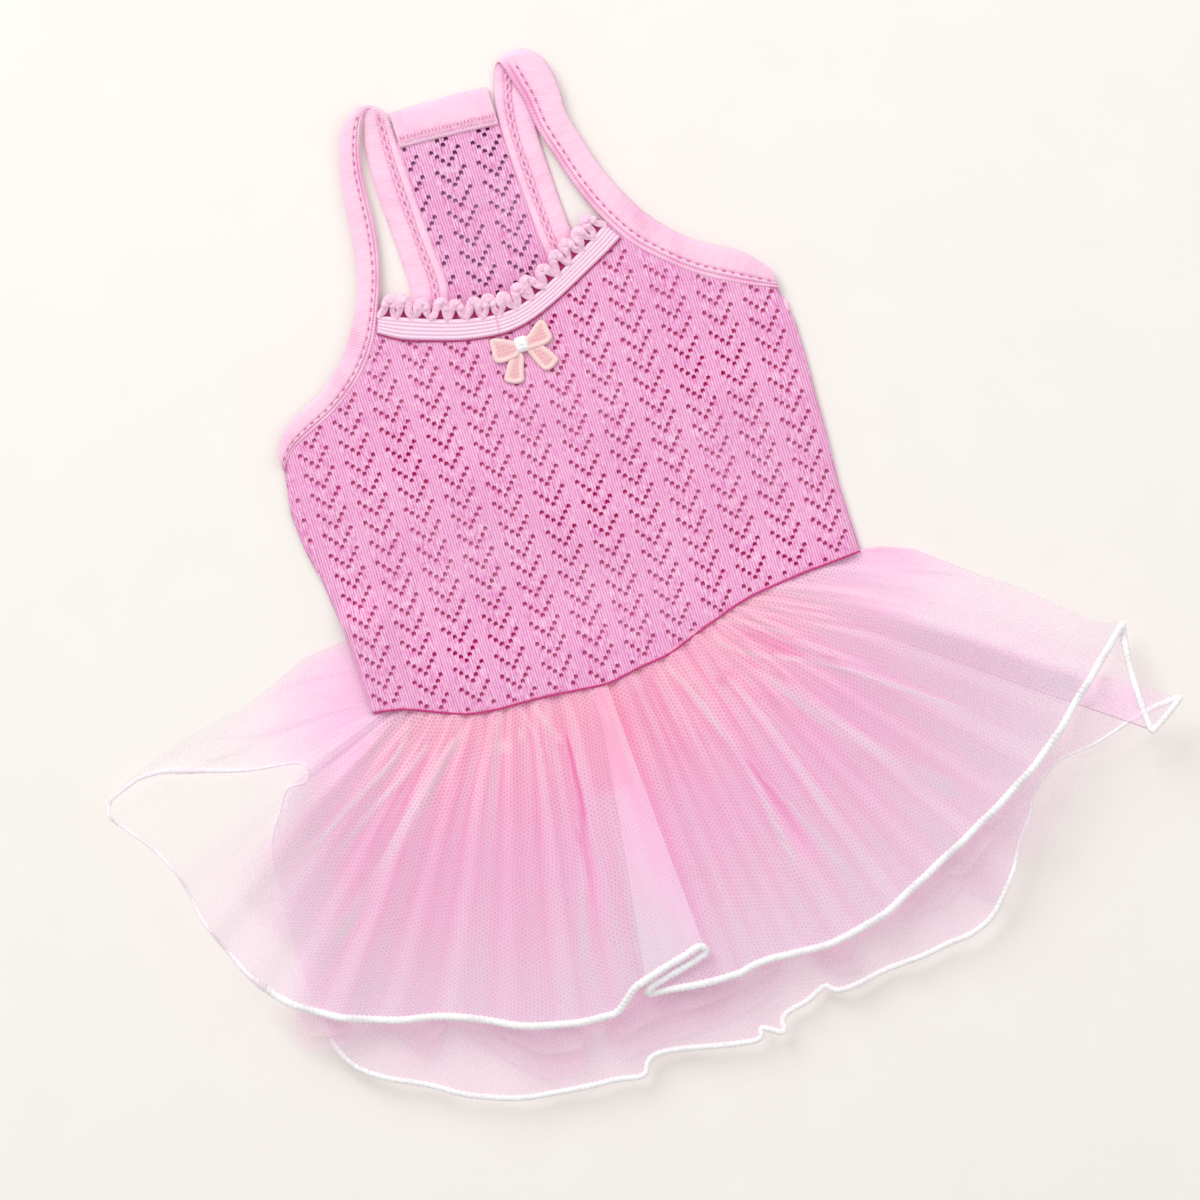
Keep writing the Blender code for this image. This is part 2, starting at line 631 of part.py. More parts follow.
def net_tube(finish):
    """The plain net tube inside, flattened, with its raw lower edge."""
    rows = NET_ROWS
    first, last = NET_HEM[0][0], NET_HEM[-1][0]
    lines = [row[0] for row in NET_HEM]
    lines = spaced(crest_lines(2, first + 0.2, last - 0.2), lines[1:-1])
    front = [column_of(NET_FRONT, line, at(NET_HEM, line, 2), rows) for line in lines]
    back = [column_of(NET_BACK, line, at(NET_HEM, line, 1), rows) for line in lines]
    right = half_turn(last, NET_FRONT, NET_BACK, rows, at(NET_HEM, last, 2), -1)
    left = half_turn(first, NET_FRONT, NET_BACK, rows, at(NET_HEM, first, 2), 1)
    middle, along = np.split(np.array(front + right + back[::-1] + left).transpose(1, 0, 2), 2, axis=2)
    return wall("inner_net_tube", *thickened(middle, TULLE, True, along), finish, ring=True)


def corner_lift(x, y):
    """The bodice's lower left corner lies on the wing that folds behind it."""
    return LIFT * smooth((-64.0 - x) / 10.0) * smooth((12.0 - y) / 11.0)


def front_z(x, y):
    """Underside of the front panel: on the back binding, down at the side seams."""
    lifted = corner_lift(x, y) / LIFT
    side = smooth(min(x + 88.0, 94.5 - x) / 9.0)
    held = smooth((y - 40.0) / 12.0)
    over_side = (FRONT_Z - SIDE_Z) * max(side, held)
    puff = WAIST_PUFF * smooth((-4.0 - y) / 26.0) * side
    swell = 0.3 * (1 + math.sin(x / 17.0 + y / 11.0)) * smooth((56.0 - y) / 16.0) * side
    clear = CORNER_GAP * math.sin(math.pi * min(1.0, 2 * lifted) / 2)
    return SIDE_Z + corner_lift(x, y) + clear + (over_side + puff) * (1 - lifted) + swell


def front_panel(finish):
    """Front bodice: columns from the waist seam to the armholes and the neck."""
    columns = rounded(FRONT_TOP, 1)
    lower = []
    for place, (bottom_x, top_x, top_y) in enumerate(columns):
        bottom_y = waist_y(bottom_x) + SEAM_GAP
        edge = max(0.0, 1 - place / 3) - max(0.0, 1 - (len(columns) - 1 - place) / 3)
        column = []
        for share in FRONT_ROWS:
            x = bottom_x + (top_x - bottom_x) * share
            y = bottom_y + (top_y - bottom_y) * share
            x += at(SIDE_BOW, y, 1 if edge > 0 else 2) * abs(edge)
            column.append((x, y, front_z(x, y)))
        lower.append(column)
    lower = np.array(lower).transpose(1, 0, 2)
    return wall("front_bodice", lower, lower + (0, 0, KNIT), finish)


def back_panel(finish):
    """Back bodice: rows from the waist seam to the neck edge."""
    lower = []
    levels = [row[0] for row in BACK_SIDES]
    for y, left, right in BACK_SIDES:
        row = []
        for share in BACK_COLUMNS:
            x = left + (right - left) * share
            dip = (waist_y(x) + SEAM_GAP - levels[0]) * smooth((30.0 - y) / 56.0)
            top = BACK_TOP_SLANT * (1 - 2 * share) * smooth((y - 127.0) / 24.0)
            place = y + dip + top
            row.append((x, place, corner_lift(x, place)))
        lower.append(row)
    lower = np.array(lower)
    return wall("back_bodice", lower, lower + (0, 0, KNIT), finish)


def strap(name, table, finish):
    """One armhole's binding, which is its shoulder strap as well."""
    stations = rounded(table, STRAP_STEPS)
    edges = np.array([
        ((ax, ay, z), ((ax + bx) / 2, (ay + by) / 2, z), (bx, by, z))
        for ax, ay, bx, by, z in stations
    ])
    edges[:, :, 2] = np.maximum(edges[:, :, 2], BACK_BINDING_Z)
    lower, upper = thickened(edges.transpose(1, 0, 2), BINDING, False)
    for face in (lower, upper):
        face[:, :, 2] = np.maximum(face[:, :, 2], 0.0)
    return wall(name, lower, upper, finish)


def neck_band(finish):
    """The folded band across the top of the back."""
    lower = np.array([[(x, low, 0.0), (x, high, 0.0)] for x, low, high in NECK_BAND])
    return wall("back_neck_band", lower, lower + (0, 0, BINDING), finish)


def elastic(finish):
    """Picot elastic along the front neck, with a row of small loops above the band."""
    band = rounded(ELASTIC_BAND, 3)
    bottom, top = band[:, :2], band[:, 2:]
    steps = np.linalg.norm(np.diff(top, axis=0), axis=1)
    along = np.concatenate(((0.0,), np.cumsum(steps)))
    pitch = along[-1] / PICOTS
    outline = [tuple(point) for point in bottom]
    loops = []
    for number in range(PICOTS):
        for share, rise in PICOT:
            place = (number + share) * pitch
            x = np.interp(place, along, top[:, 0])
            y = np.interp(place, along, top[:, 1])
            ahead = place + 0.5
            slope = np.array((
                np.interp(ahead, along, top[:, 0]) - x, np.interp(ahead, along, top[:, 1]) - y
            ))
            if np.linalg.norm(slope) < 1e-6:
                slope = top[-1] - top[-2]
            slope /= np.linalg.norm(slope)
            lift = rise * PICOT_HEIGHT
            loops.append((x - slope[1] * lift, y + slope[0] * lift))
    outline += [tuple(top[-1])] + loops[::-1] + [tuple(top[0])]
    lowest = FRONT_Z + KNIT + GAP
    return slab("neck_elastic", outline, lowest, lowest + ELASTIC, finish)


def bow(finish):
    """The embroidered bow below the neck, with a padded rim."""
    lowest = FRONT_Z + KNIT + GAP
    return slab("bow", BOW, lowest, lowest + BOW_HEIGHT, finish, rim=BOW_RIM)


def bow_knot(finish):
    """The bow's satin knot."""
    lowest = FRONT_Z + KNIT + GAP + BOW_HEIGHT + BOW_RIM[1] + GAP
    width, length, rise = KNOT_SIZE
    rings, sides = 4, 16
    points = []
    for ring in range(rings):
        angle = math.pi / 2 * (rings - 1 - ring) / (rings - 1) * 0.86
        for side in range(sides):
            turn = 2 * math.pi * side / sides
            points.append((
                KNOT_AT[0] + width / 2 * math.cos(angle) * math.cos(turn),
                KNOT_AT[1] + length / 2 * math.cos(angle) * math.sin(turn),
                lowest + rise * math.sin(angle),
            ))
    faces = [
        [ring * sides + side, ring * sides + (side + 1) % sides,
         (ring + 1) * sides + (side + 1) % sides, (ring + 1) * sides + side]
        for ring in range(rings - 1)
        for side in range(sides)
    ]
    faces.append(list(range(sides)))
    faces.append([(rings - 1) * sides + side for side in range(sides)])
    return add_object("bow_knot", points, faces, finish)


def cloth(name, colour, roughness):
    """A plain Principled finish from an sRGB hex colour."""
    parts = [int(colour[place:place + 2], 16) / 255 for place in (1, 3, 5)]
    linear = [part / 12.92 if part <= 0.04045 else ((part + 0.055) / 1.055) ** 2.4 for part in parts]
    finish = bpy.data.materials.new(name)
    finish.use_nodes = True
    shader = finish.node_tree.nodes["Principled BSDF"]
    shader.inputs["Base Color"].default_value = (*linear, 1.0)
    shader.inputs["Roughness"].default_value = roughness
    finish.diffuse_color = (*linear, 1.0)
    return finish


def build():
    for ob in list(bpy.data.objects):
        bpy.data.objects.remove(ob, do_unlink=True)
    back_panel(cloth("back knit", "#EE94CE", 0.9))
    front_panel(cloth("front knit", "#F29AD3", 0.9))
    strap("left_strap", LEFT_STRAP, cloth("left jersey", "#F8A6D8", 0.85))
    strap("right_strap", RIGHT_STRAP, cloth("right jersey", "#F8A6D8", 0.85))
    neck_band(cloth("band jersey", "#F7A3D6", 0.85))
    elastic(cloth("picot elastic", "#FBC3E4", 0.7))
    bow(cloth("bow thread", "#F6BFB6", 0.5))
    bow_knot(cloth("knot satin", "#FFF4F4", 0.35))
    outer_tier(cloth("tulle", "#F6B3DA", 0.8))
    net_tube(cloth("plain net", "#F7A2C8", 0.85))


build()
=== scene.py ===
"""A small ballet tutu dress laid flat: pointelle knit bodice, jersey bindings, tulle skirt.

Lengths in the tables are millimetres. Their X and Y start at the bodice's middle, MIDDLE
moves them to the frame's origin, and Z starts at the surface that the dress lies on.
"""
import math
from functools import partial

import bpy
import numpy as np
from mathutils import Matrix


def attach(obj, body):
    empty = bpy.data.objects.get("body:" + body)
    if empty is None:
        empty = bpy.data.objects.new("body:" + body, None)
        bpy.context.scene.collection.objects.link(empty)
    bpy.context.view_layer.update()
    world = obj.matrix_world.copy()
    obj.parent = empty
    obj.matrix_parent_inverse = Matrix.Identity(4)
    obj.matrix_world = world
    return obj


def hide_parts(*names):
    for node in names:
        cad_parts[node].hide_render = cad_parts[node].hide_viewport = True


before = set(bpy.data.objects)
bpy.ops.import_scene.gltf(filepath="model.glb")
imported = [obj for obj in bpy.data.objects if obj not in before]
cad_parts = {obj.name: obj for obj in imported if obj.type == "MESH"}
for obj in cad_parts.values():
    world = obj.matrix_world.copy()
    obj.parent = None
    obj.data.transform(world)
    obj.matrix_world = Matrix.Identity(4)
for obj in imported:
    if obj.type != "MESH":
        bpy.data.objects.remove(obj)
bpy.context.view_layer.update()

MM = 0.001
MIDDLE = (-3.2, 0.9)  # middle of the whole outline, in the tables' X and Y
VIEW_TILT = math.radians(17.1)  # the dress lies turned by this much to the view
VIEW_CENTRE = (3.3, -13.4)
VIEW_WIDTH = 408.0  # what the camera sees, across
VIEW_DISTANCE = 2000.0
SENSOR = 36.0
FLOOR_SIZE = 6.0  # metres

# Driving sizes
KNIT = 1.2  # room that a bodice panel takes
KNIT_THICK = 0.5
BINDING = 1.9  # a folded binding's thickness
GAP = 0.3  # between two layers
BINDING_STEP = 0.6  # mm between two stations of a binding
SHOULDER = 4.5  # mm of strap on each side of its crown that turn round
SEAM_GAP = 0.7  # from the back panel's lower edge up from the waist seam
BACK_BINDING_Z = BINDING / 2
FRONT_Z = BINDING + GAP
FRONT_BINDING_Z = FRONT_Z + BINDING / 2
FRONT_TOP_Z = FRONT_Z + KNIT + GAP  # what is sewn on the front panel starts here
SIDE_Z = KNIT + GAP
WAIST_PUFF = 1.4  # how much higher the front panel lies on the skirt's gathers
LIFT = 3.3  # the bodice corner that lies on the skirt's left wing
CORNER_GAP = 0.7  # between that corner and the back panel under it

FAN = (
    # waist x, y, hem x, y
    (-76, -4, -174.5, -29), (-79.5, -18, -177, -35.5), (-81, -27, -168, -47),
    (-76.5, -27.6, -160.5, -60), (-71, -28.8, -155.5, -81), (-64.5, -31.4, -144, -105),
    (-57.5, -34.3, -129, -118.5), (-50, -36.9, -108, -127.8), (-42, -38, -85, -133.5),
    (-34, -38.3, -62, -144), (-24, -38.8, -40, -148.3), (-13, -39.8, -18, -148),
    (-2, -40.6, 3, -148.4), (10, -38.6, 22, -146.3), (20, -37.3, 42, -147.3),
    (29, -34.2, 62, -143.6), (35, -32, 80, -135.3), (39.5, -30.6, 98, -126.3),
    (43.5, -29.2, 116, -116.6), (48.5, -27.7, 134, -104.8), (57, -26, 149, -91.3),
    (72, -24.4, 161, -80.7), (92.6, -23, 170, -73),
)
FAN_END = len(FAN) - 1

FLARE = (
    # reach, left wing, right wing
    (0, 0, 0), (0.09, 5, 3.6), (0.23, 7, 6.3), (0.35, 4.8, 4.9), (0.48, 3.4, 3.5), (0.63, 4.2, 3),
    (0.76, 4.6, 0), (0.90, 3.2, -2.3), (1, 0.6, 0),
)
FLARE_FADE = ((0, 1.0), (1, 0.6), (2, 0.2), (3, 0.0))

PLEATS = (
    # fan line, rise at the waist, rise at the hem
    (0, 0.3, 0.8), (0.9, 0.4, 1.6), (1.8, 0.6, 2.4), (2.9, 0.8, 2), (4, 1.2, 4.6), (4.8, 1, 3),
    (5.6, 0.9, 2.6), (6.4, 1.3, 4.8), (7.3, 0.9, 2.6), (8.1, 1.1, 3.4), (8.9, 0.8, 2.4),
    (9.8, 1.3, 4.2), (10.8, 0.9, 2.4), (11.6, 0.9, 1.8), (12.5, 1.1, 3.2), (13.3, 0.8, 2.4),
    (14.1, 1.2, 4.2), (15.2, 1.3, 5), (16, 0.8, 2.8), (16.9, 1, 3.8), (17.7, 0.8, 2.6),
    (18.5, 1.1, 4.2), (19.4, 0.8, 2.8), (20.3, 0.8, 3.2), (21.2, 0.6, 2.2), (22, 0.3, 0.8),
)
FOLD_OVER = (
    # reach, fan line it starts at, fan line of its right edge, underlap, turn radius
    (0, 10.35, 11.96, 2, 0.78), (0.3, 10.30, 11.97, 6, 1), (1, 10.28, 12.03, 18.8, 1.1),
)
FOLD_OVER_END = 12.45
FOLD_OVER_PARTS = (
    # part, columns, hem reach at its start and at its end
    ("rise", 18, 1.002, 0.935), ("top", 22, 0.935, 0.876), ("right turn", 10, 0.876, 0.908),
    ("middle", 18, 0.908, 0.958), ("left turn", 8, 0.958, 0.978), ("bottom", 16, 0.978, 1.003),
)
FOLD_BULGE = 2.3  # how much wider than high the pleat's right turn is

BACK_HEM = (
    # fan line, reach
    (0, 1), (0.2, 0.92), (0.55, 0.81), (1.03, 0.692), (1.62, 0.547), (2.05, 0.42), (2.45, 0.365),
    (3, 0.382), (3.23, 0.422), (3.05, 0.462), (3.02, 0.485), (3.15, 0.52), (3.4, 0.565),
    (3.75, 0.65), (4.3, 0.72), (5.2, 0.86), (6.05, 1), (6.33, 1.074), (6.66, 1.14), (7, 1.177),
    (7.8, 1.228), (8.2, 1.249), (8.6, 1.241), (9.3, 1.211), (10.1, 1.199), (10.55, 1.215),
    (10.65, 1.18), (10.9, 1.166), (11.8, 1.20), (12.34, 1.221), (12.44, 1.191), (12.77, 1.234),
    (12.85, 1.188), (13.3, 1.161), (13.68, 1.124), (13.85, 1.149), (14.7, 1.148), (15.6, 1.195),
    (16, 1.224), (16.4, 1.229), (16.8, 1.20), (17.2, 1.163), (17.5, 1.125), (17.95, 1.088),
    (18.2, 1.058), (18.8, 1.05), (19.5, 1.13), (19.8, 1.227), (20.3, 1.158), (21, 1.078), (22, 1),
)
RIGHT_FOLDS = (
    # the back's right end folds twice: fan line, reach, lift at the hem
    (22.0, 1.0, 0.0), (21.0, 1.08, 0.2), (20.3, 1.16, 0.8), (19.82, 1.236, 1.6), (19.88, 1.25, 1.4),
    (20.2, 1.265, 0.8), (20.5, 1.275, 0.4), (20.45, 1.265, 0.2), (20.2, 1.22, 0.0),
    (19.8, 1.17, 0.0), (19.3, 1.112, 0.0),
)
RIGHT_FOLD_COLUMNS = 48
SHEER_TO = 5.0  # the fan line where the left wing's sheer hem ends
SLOPE_SHARE = 0.42  # how much of its slope a fold of net shades with
HEM_CORD = (2.6, 2.2)  # width of the hem's overlock, in front and on the right folds
GATHERS = (0.43, 0.83)  # fan lines between fine gathers and between broad ones
BACK_STEP = 1.3  # mm between two columns of the outer tier's back
NET_STEP = 0.13  # fan lines between two columns of the inner net

NET_HEM = (
    # fan line, back reach, front reach
    (3.25, 0.50, 0.50), (3.45, 0.54, 0.53), (3.6, 0.66, 0.64), (3.8, 0.86, 0.84),
    (4.6, 0.85, 0.83), (5.2, 0.86, 0.84), (5.5, 0.95, 0.93), (5.9, 1.13, 1.08), (6.2, 1.12, 1.07),
    (6.9, 1.06, 1.02), (7.2, 1.04, 1), (7.75, 1.15, 1.09), (7.95, 1.03, 1), (8.6, 1.10, 1.04),
    (9.2, 1.17, 1.09), (9.8, 1.15, 1.08), (9.9, 1.02, 1.01), (10.12, 1.01, 1), (10.2, 1.15, 1.09),
    (10.8, 1.14, 1.06), (11.6, 1.135, 1.06), (12.4, 1.12, 1.05), (13.05, 1.10, 1.04),
    (13.15, 1.02, 1.01), (13.7, 1.02, 1.01), (13.8, 1.09, 1.05), (14.35, 1.11, 1.05),
    (14.45, 1.04, 1.02), (15.2, 1.05, 1.02), (16, 1.10, 1.04), (16.45, 1.10, 1.05),
    (16.52, 1.20, 1.08), (17.2, 1.15, 1.06), (17.6, 1.19, 1.07), (18.1, 1.175, 1.06),
    (18.7, 1.14, 1.04), (19.3, 1.115, 1.02), (19.8, 1.07, 1), (20.4, 0.98, 0.96),
)
# Heights of the skirt's layers: centre at the waist, added at the hem, share of a pleat
OUTER_BACK = (0.5, 0.0, 0.35)
NET_BACK = (1.95, 0.4, 0.45)
NET_FRONT = (3.35, 1.2, 0.7)
OUTER_FRONT = (4.85, 2.4, 1.0)
WING_FOLD = 1.6  # height of the front over the back where both meet in a side fold
HEM_LOFT = 3.0  # how much higher the skirt stands at its hem
RIGHT_LOFT = 4.5  # more on its right side

FRONT_TOP = (
    # x, y: armhole, neck and armhole, left to right
    (-86.4, 58.6), (-81.6, 64.4), (-75.2, 68.2), (-64.2, 73.4), (-53.2, 81.4), (-44.8, 91.4),
    (-40.6, 99.2), (-35, 96.8), (-27, 93.9), (-18.5, 91.1), (-9.5, 88.9), (-1.5, 87.5), (6, 88),
    (14, 90.6), (22, 94.4), (31, 99.3), (38, 103.2), (43.6, 106.4), (49.6, 97.6), (57.4, 89.4),
    (66.2, 82.6), (76, 76), (85, 72.4), (92.4, 69.3),
)
# The front panel's side seams, at the waist and at the armhole
LEFT_SEAM_X, LEFT_SEAM_Y = (-82.0, -86.4), (-26.0, 58.6)
RIGHT_SEAM_X, RIGHT_SEAM_Y = (93.0, 92.4), (-26.0, 60.0)
SEAM_UNDER = (0.6, 2.0)  # how far the panel goes into the waist seam and into the bindings
SIDE_BOW = (
    # y, left bow, right bow of the side seams
    (-26, 0, 0), (0, 0.3, -0.3), (20, -0.6, 0.9), (32, -2.1, 1.3), (45, -2.4, 2), (58.6, 0, 2),
    (69.3, 0, 0),
)
BACK_SIDES = (
    # y, left x, right x: side seams, armholes and the narrow back up to the neck
    (-26, -82, 93), (-19, -82.2, 92.9), (-12, -82.4, 92.7), (-6, -82.6, 92.5), (0, -82.8, 92.4),
    (6, -83.2, 92.6), (12, -83.8, 93), (20, -84.6, 93.4), (34, -86.8, 94), (48, -87.4, 94.4),
    (55.2, -86.2, 94), (57.4, -75, 81), (60.4, -65, 70.5), (66.8, -45.6, 51), (76.4, -29, 34.6),
    (88, -18.4, 24.4), (103, -14.4, 19.8), (115, -14.8, 18.7), (127, -15.5, 18.1),
    (140, -16, 17.6), (151.8, -16.3, 17.9),
)
BACK_TOP = 154.0
BACK_TOP_SLANT = 1.2
TUCK = 2.2  # how far the back panel's edge goes into the bindings
PANEL_X = (-90, 98)  # both panels' meshes are cut from a field of this width

# Outer x, y and inner x, y of each binding's edges
LEFT_STRAP = (
    # in front, from the armhole to the strap
    ((-86.6, 66, -86.6, 60), (-83.6, 71, -81.9, 65.5), (-78, 76, -75.5, 69),
     (-66.5, 81.8, -63.8, 74.5), (-57.5, 89.5, -53, 82.3), (-50.5, 98.8, -44.7, 92.6),
     (-46, 107.5, -39.3, 104.5)),
    # over the shoulder, with its height
    ((-43.2, 115.5, -35.8, 114, 3), (-41.8, 123, -33.8, 122, 2.8), (-41, 131, -32.4, 130.8, 2.9),
     (-40, 140, -31.9, 139.7, 3.4), (-38.7, 149.7, -31.3, 149.3, 3.4),
     (-36.8, 157.7, -29.6, 157.2, 3.7), (-35.1, 162.3, -28.5, 160.6, 3.7),
     (-33.1, 165.6, -27.2, 164.3, 3.8), (-30.8, 167.9, -25.4, 167.3, 3.8),
     (-28.5, 169.5, -23.4, 168.8, 3.6), (-26.6, 169.8, -21, 168.9, 3.2),
     (-25.5, 168.9, -18.9, 168.1, 2.6), (-25.6, 166.7, -17.7, 166.2, 2),
     (-26.2, 163.9, -17.2, 163.4, 1.5)),
    # behind, down to the armhole
    ((-27.1, 160.5, -17, 159), (-27.7, 157.4, -17, 155), (-28.5, 145, -16.6, 142),
     (-28, 130, -16.1, 127), (-27.4, 118, -15.4, 115), (-27.5, 106, -15, 103),
     (-31, 94.5, -19.6, 88.4), (-38.5, 84.8, -30, 77.8), (-50, 76.8, -46.2, 68.8),
     (-67, 70.4, -65.6, 62.4), (-86, 65.2, -86, 57.4)),
)
RIGHT_STRAP = (
    # in front, from the armhole to the strap
    ((91.8, 77, 92.6, 70), (84, 85.6, 80.5, 75), (70, 94, 66.5, 83.2), (60.5, 103, 54.5, 93.4),
     (54.5, 111, 48, 100.6), (49.5, 120.5, 42, 110.5)),
    # over the shoulder, with its height
    ((46, 129.5, 37, 122, 3), (43.2, 139.5, 33, 135, 3), (41, 148.5, 30, 145.5, 3.5),
     (41.1, 155.3, 28.4, 156.5, 3.5), (41, 159.4, 26.9, 161.9, 3.6),
     (40.4, 163.5, 25.6, 166.9, 3.7), (39.3, 167.4, 24.7, 170, 3.7),
     (37.5, 170.3, 24.2, 171.1, 3.6), (35.2, 171.9, 23.4, 171.2, 2.9), (34.9, 171, 22.4, 170, 2),
     (34.8, 166.5, 21.2, 167.3, 1.5)),
    # behind, down to the armhole
    ((34.1, 161.1, 19.8, 163.2), (31.8, 155.2, 18.6, 157), (29.8, 146, 18.1, 145),
     (30, 131, 18.6, 130), (30.4, 120, 19.2, 118), (31.2, 109, 20.4, 104.5),
     (34.5, 97, 25.5, 89.6), (42.5, 86.6, 35.8, 78.4), (56, 77, 52, 69), (74, 70.6, 71.8, 62.4),
     (94, 66, 94, 57.8)),
)
STRAPS = (
    # side, edges, turned over, rows to its crown and to where the front hides it, crown's arch
    ("left", LEFT_STRAP, False, 17, 27, 0.3),
    ("right", RIGHT_STRAP, True, 14, 23, 1.3),
)
ELASTIC_BAND = (
    # bottom x, y, top x, y
    (-42.5, 95.4, -40.2, 100.8), (-35, 91, -32.5, 98), (-25, 87.5, -22.5, 94.3),
    (-15, 84.6, -13.5, 91.6), (-5, 83, -4.5, 89.8), (2, 82.9, 2, 89.5), (10, 84.6, 8.5, 90.7),
    (20, 88.6, 17, 94), (30, 93.6, 26.5, 98.9), (40, 98.7, 36.5, 104.4),
    (46.1, 102.2, 42.3, 108.2),
)
PICOTS = 15
PICOT_HEIGHT = 6.4
ELASTIC_WIDTH = 6.8
ELASTIC_CORDS = 5.5  # ribs across the band

NECK_BAND = (
    # x, lower y, upper y
    (-16.6, 153.3, 165.7), (-5, 152.7, 165.7), (7, 151.9, 165.3), (17.9, 151, 164.5),
)
BOW = (
    # each part of the bow: its rise, then its outline
    (0, ((2.6, 75.3), (-0.4, 75.3), (-2.9, 72.8), (-4.4, 70.3), (-5.7, 68.1), (-5.4, 66.6),
     (-2.9, 65.2), (-0.5, 64.9), (0.9, 65.9), (1.8, 69.4), (3, 72.9))),
    (0, ((3.8, 76.3), (4.3, 74.5), (5.6, 71.3), (7.1, 67.9), (8.6, 66.3), (10.8, 66.5),
     (13, 67.7), (13.9, 68.9), (13.3, 70.8), (11.5, 73.6), (9, 76))),
    (0.35, ((3.3, 77.9), (0.9, 79.5), (-1.6, 80.8), (-4.2, 81.9), (-6.2, 82), (-7, 80.7),
     (-7.1, 78), (-7.4, 75.5), (-6.6, 73.7), (-4, 73.1), (-1, 73.3), (1.1, 73.8), (2.9, 75.3))),
    (0.35, ((2.6, 77.6), (5, 79.2), (7.1, 80.4), (8.9, 82), (10.9, 83.3), (12.4, 83.4),
     (13.5, 82), (13.8, 79.6), (14.3, 77.1), (13.5, 75.8), (11.4, 74.9), (7.9, 74.7), (4.7, 74.8),
     (2.9, 75.3))),
)
KNOT_AT = (3.4, 77.4)
KNOT_SIZE = (4.6, 5.4)
KNOT_RISE = 1.5
BOW_THICK = 0.25


# ---------------------------------------------------------------- shapes

def smooth(value):
    """0 below 0, 1 above 1, and an even curve between."""
    value = np.clip(value, 0.0, 1.0)
    return value * value * (3.0 - 2.0 * value)


def at(table, position, column=1):
    """A table's column at a position of its first column, in straight lines."""
    rows = np.asarray(table, dtype=float)
    return np.interp(position, rows[:, 0], rows[:, column])


def rounded(rows, steps):
    """The rows of a table with `steps` spans between each two, on a smooth curve."""
    rows = np.asarray(rows, dtype=float)
    ends = np.vstack((2 * rows[0] - rows[1], rows, 2 * rows[-1] - rows[-2]))
    out = []
    for a, b, c, d in zip(ends, ends[1:], ends[2:], ends[3:]):
        for step in range(steps):
            t = step / steps
            out.append(b + 0.5 * t * (c - a) + 0.5 * t**2 * (2 * a - 5 * b + 4 * c - d)
                       + 0.5 * t**3 * (3 * b - a - 3 * c + d))
    out.append(rows[-1])
    return np.array(out)


def distances(line):
    """How far along a line each of its points lies."""
    steps = np.linalg.norm(np.diff(line, axis=0), axis=1)
    return np.concatenate(((0.0,), np.cumsum(steps)))


def read(rows, along, places):
    """Rows that lie `along` a line, read at other places of it."""
    return np.stack([np.interp(places, along, column) for column in np.asarray(rows).T], axis=-1)


def respaced(line, step):
    """Points evenly spaced along a line, about `step` apart, with the distance of each."""
    line = np.asarray(line, dtype=float)
    along = distances(line)
    places = np.linspace(0.0, along[-1], max(2, int(round(along[-1] / step)) + 1))
    return read(line, along, places), places


def unit(vectors):
    return vectors / np.maximum(np.linalg.norm(vectors, axis=-1, keepdims=True), 1e-9)


def add_piece(name, points, faces, material, uv=None, traits=None):
    """A mesh piece from points in mm. uv is per point or per face corner, in mm."""
    points = np.asarray(points, dtype=float).reshape(-1, 3)
    placed = (points - (*MIDDLE, 0.0)) * MM
    mesh = bpy.data.meshes.new(name)
    mesh.from_pydata(placed.tolist(), [], [list(map(int, face)) for face in faces])
    if uv is not None:
        if uv.ndim == 2:
            uv = np.concatenate([uv[face] for face in faces])
        layer = mesh.uv_layers.new(name="cloth")
        layer.data.foreach_set("uv", np.asarray(uv, dtype=np.float32).ravel())
    for trait, values in (traits or {}).items():
        layer = mesh.attributes.new(trait, "FLOAT", "POINT")
        layer.data.foreach_set("value", np.asarray(values, dtype=np.float32).ravel())
    mesh.shade_smooth()
    mesh.materials.append(material)
    mesh.update()
    ob = bpy.data.objects.new(name, mesh)
    bpy.context.collection.objects.link(ob)
    return ob


def thickened(ob, thickness):
    """Gives an open piece its cloth's thickness, downwards."""
    shell = ob.modifiers.new("thickness", "SOLIDIFY")
    shell.thickness = thickness * MM
    shell.offset = -1.0
    return ob


def grid_faces(rows, columns, ring=False):
    """Quads of a grid of points, rows by columns. A ring's columns close up."""
    spans = columns if ring else columns - 1
    row, column = np.meshgrid(np.arange(rows - 1), np.arange(spans), indexing="ij")
    after = (column + 1) % columns
    corners = (row * columns + column, row * columns + after,
               (row + 1) * columns + after, (row + 1) * columns + column)
    return np.stack(corners, axis=-1).reshape(-1, 4)


def closed_faces(rows, columns):
    """Faces of a ring of columns with a cover on each end."""
    ends = [list(range(columns)), list(range((rows - 1) * columns, rows * columns))[::-1]]
    return grid_faces(rows, columns, ring=True).tolist() + ends


def tube(line, width, rise, sides, ridge=None, depth=0.0, lobes=0):
    """Points and faces of a tube along a line. `ridge` turns lobed ridges round it."""
    line = np.asarray(line, dtype=float)
    count = len(line)
    width, rise = np.broadcast_to(width, count), np.broadcast_to(rise, count)
    along = unit(np.gradient(line, axis=0))
    across = unit(np.cross((0.0, 0.0, 1.0), along))
    up = np.cross(along, across)
    turn = 2 * np.pi * np.arange(sides) / sides
    swell = np.ones((count, sides))
    if ridge is not None:
        swell = 1.0 + depth * np.cos(ridge[:, None] + lobes * turn)
    ring = (line[:, None]
            + across[:, None] * (np.cos(turn) * swell * width[:, None] / 2)[..., None]
            + up[:, None] * (np.sin(turn) * swell * rise[:, None] / 2)[..., None])
    return ring.reshape(-1, 3), closed_faces(count, sides)


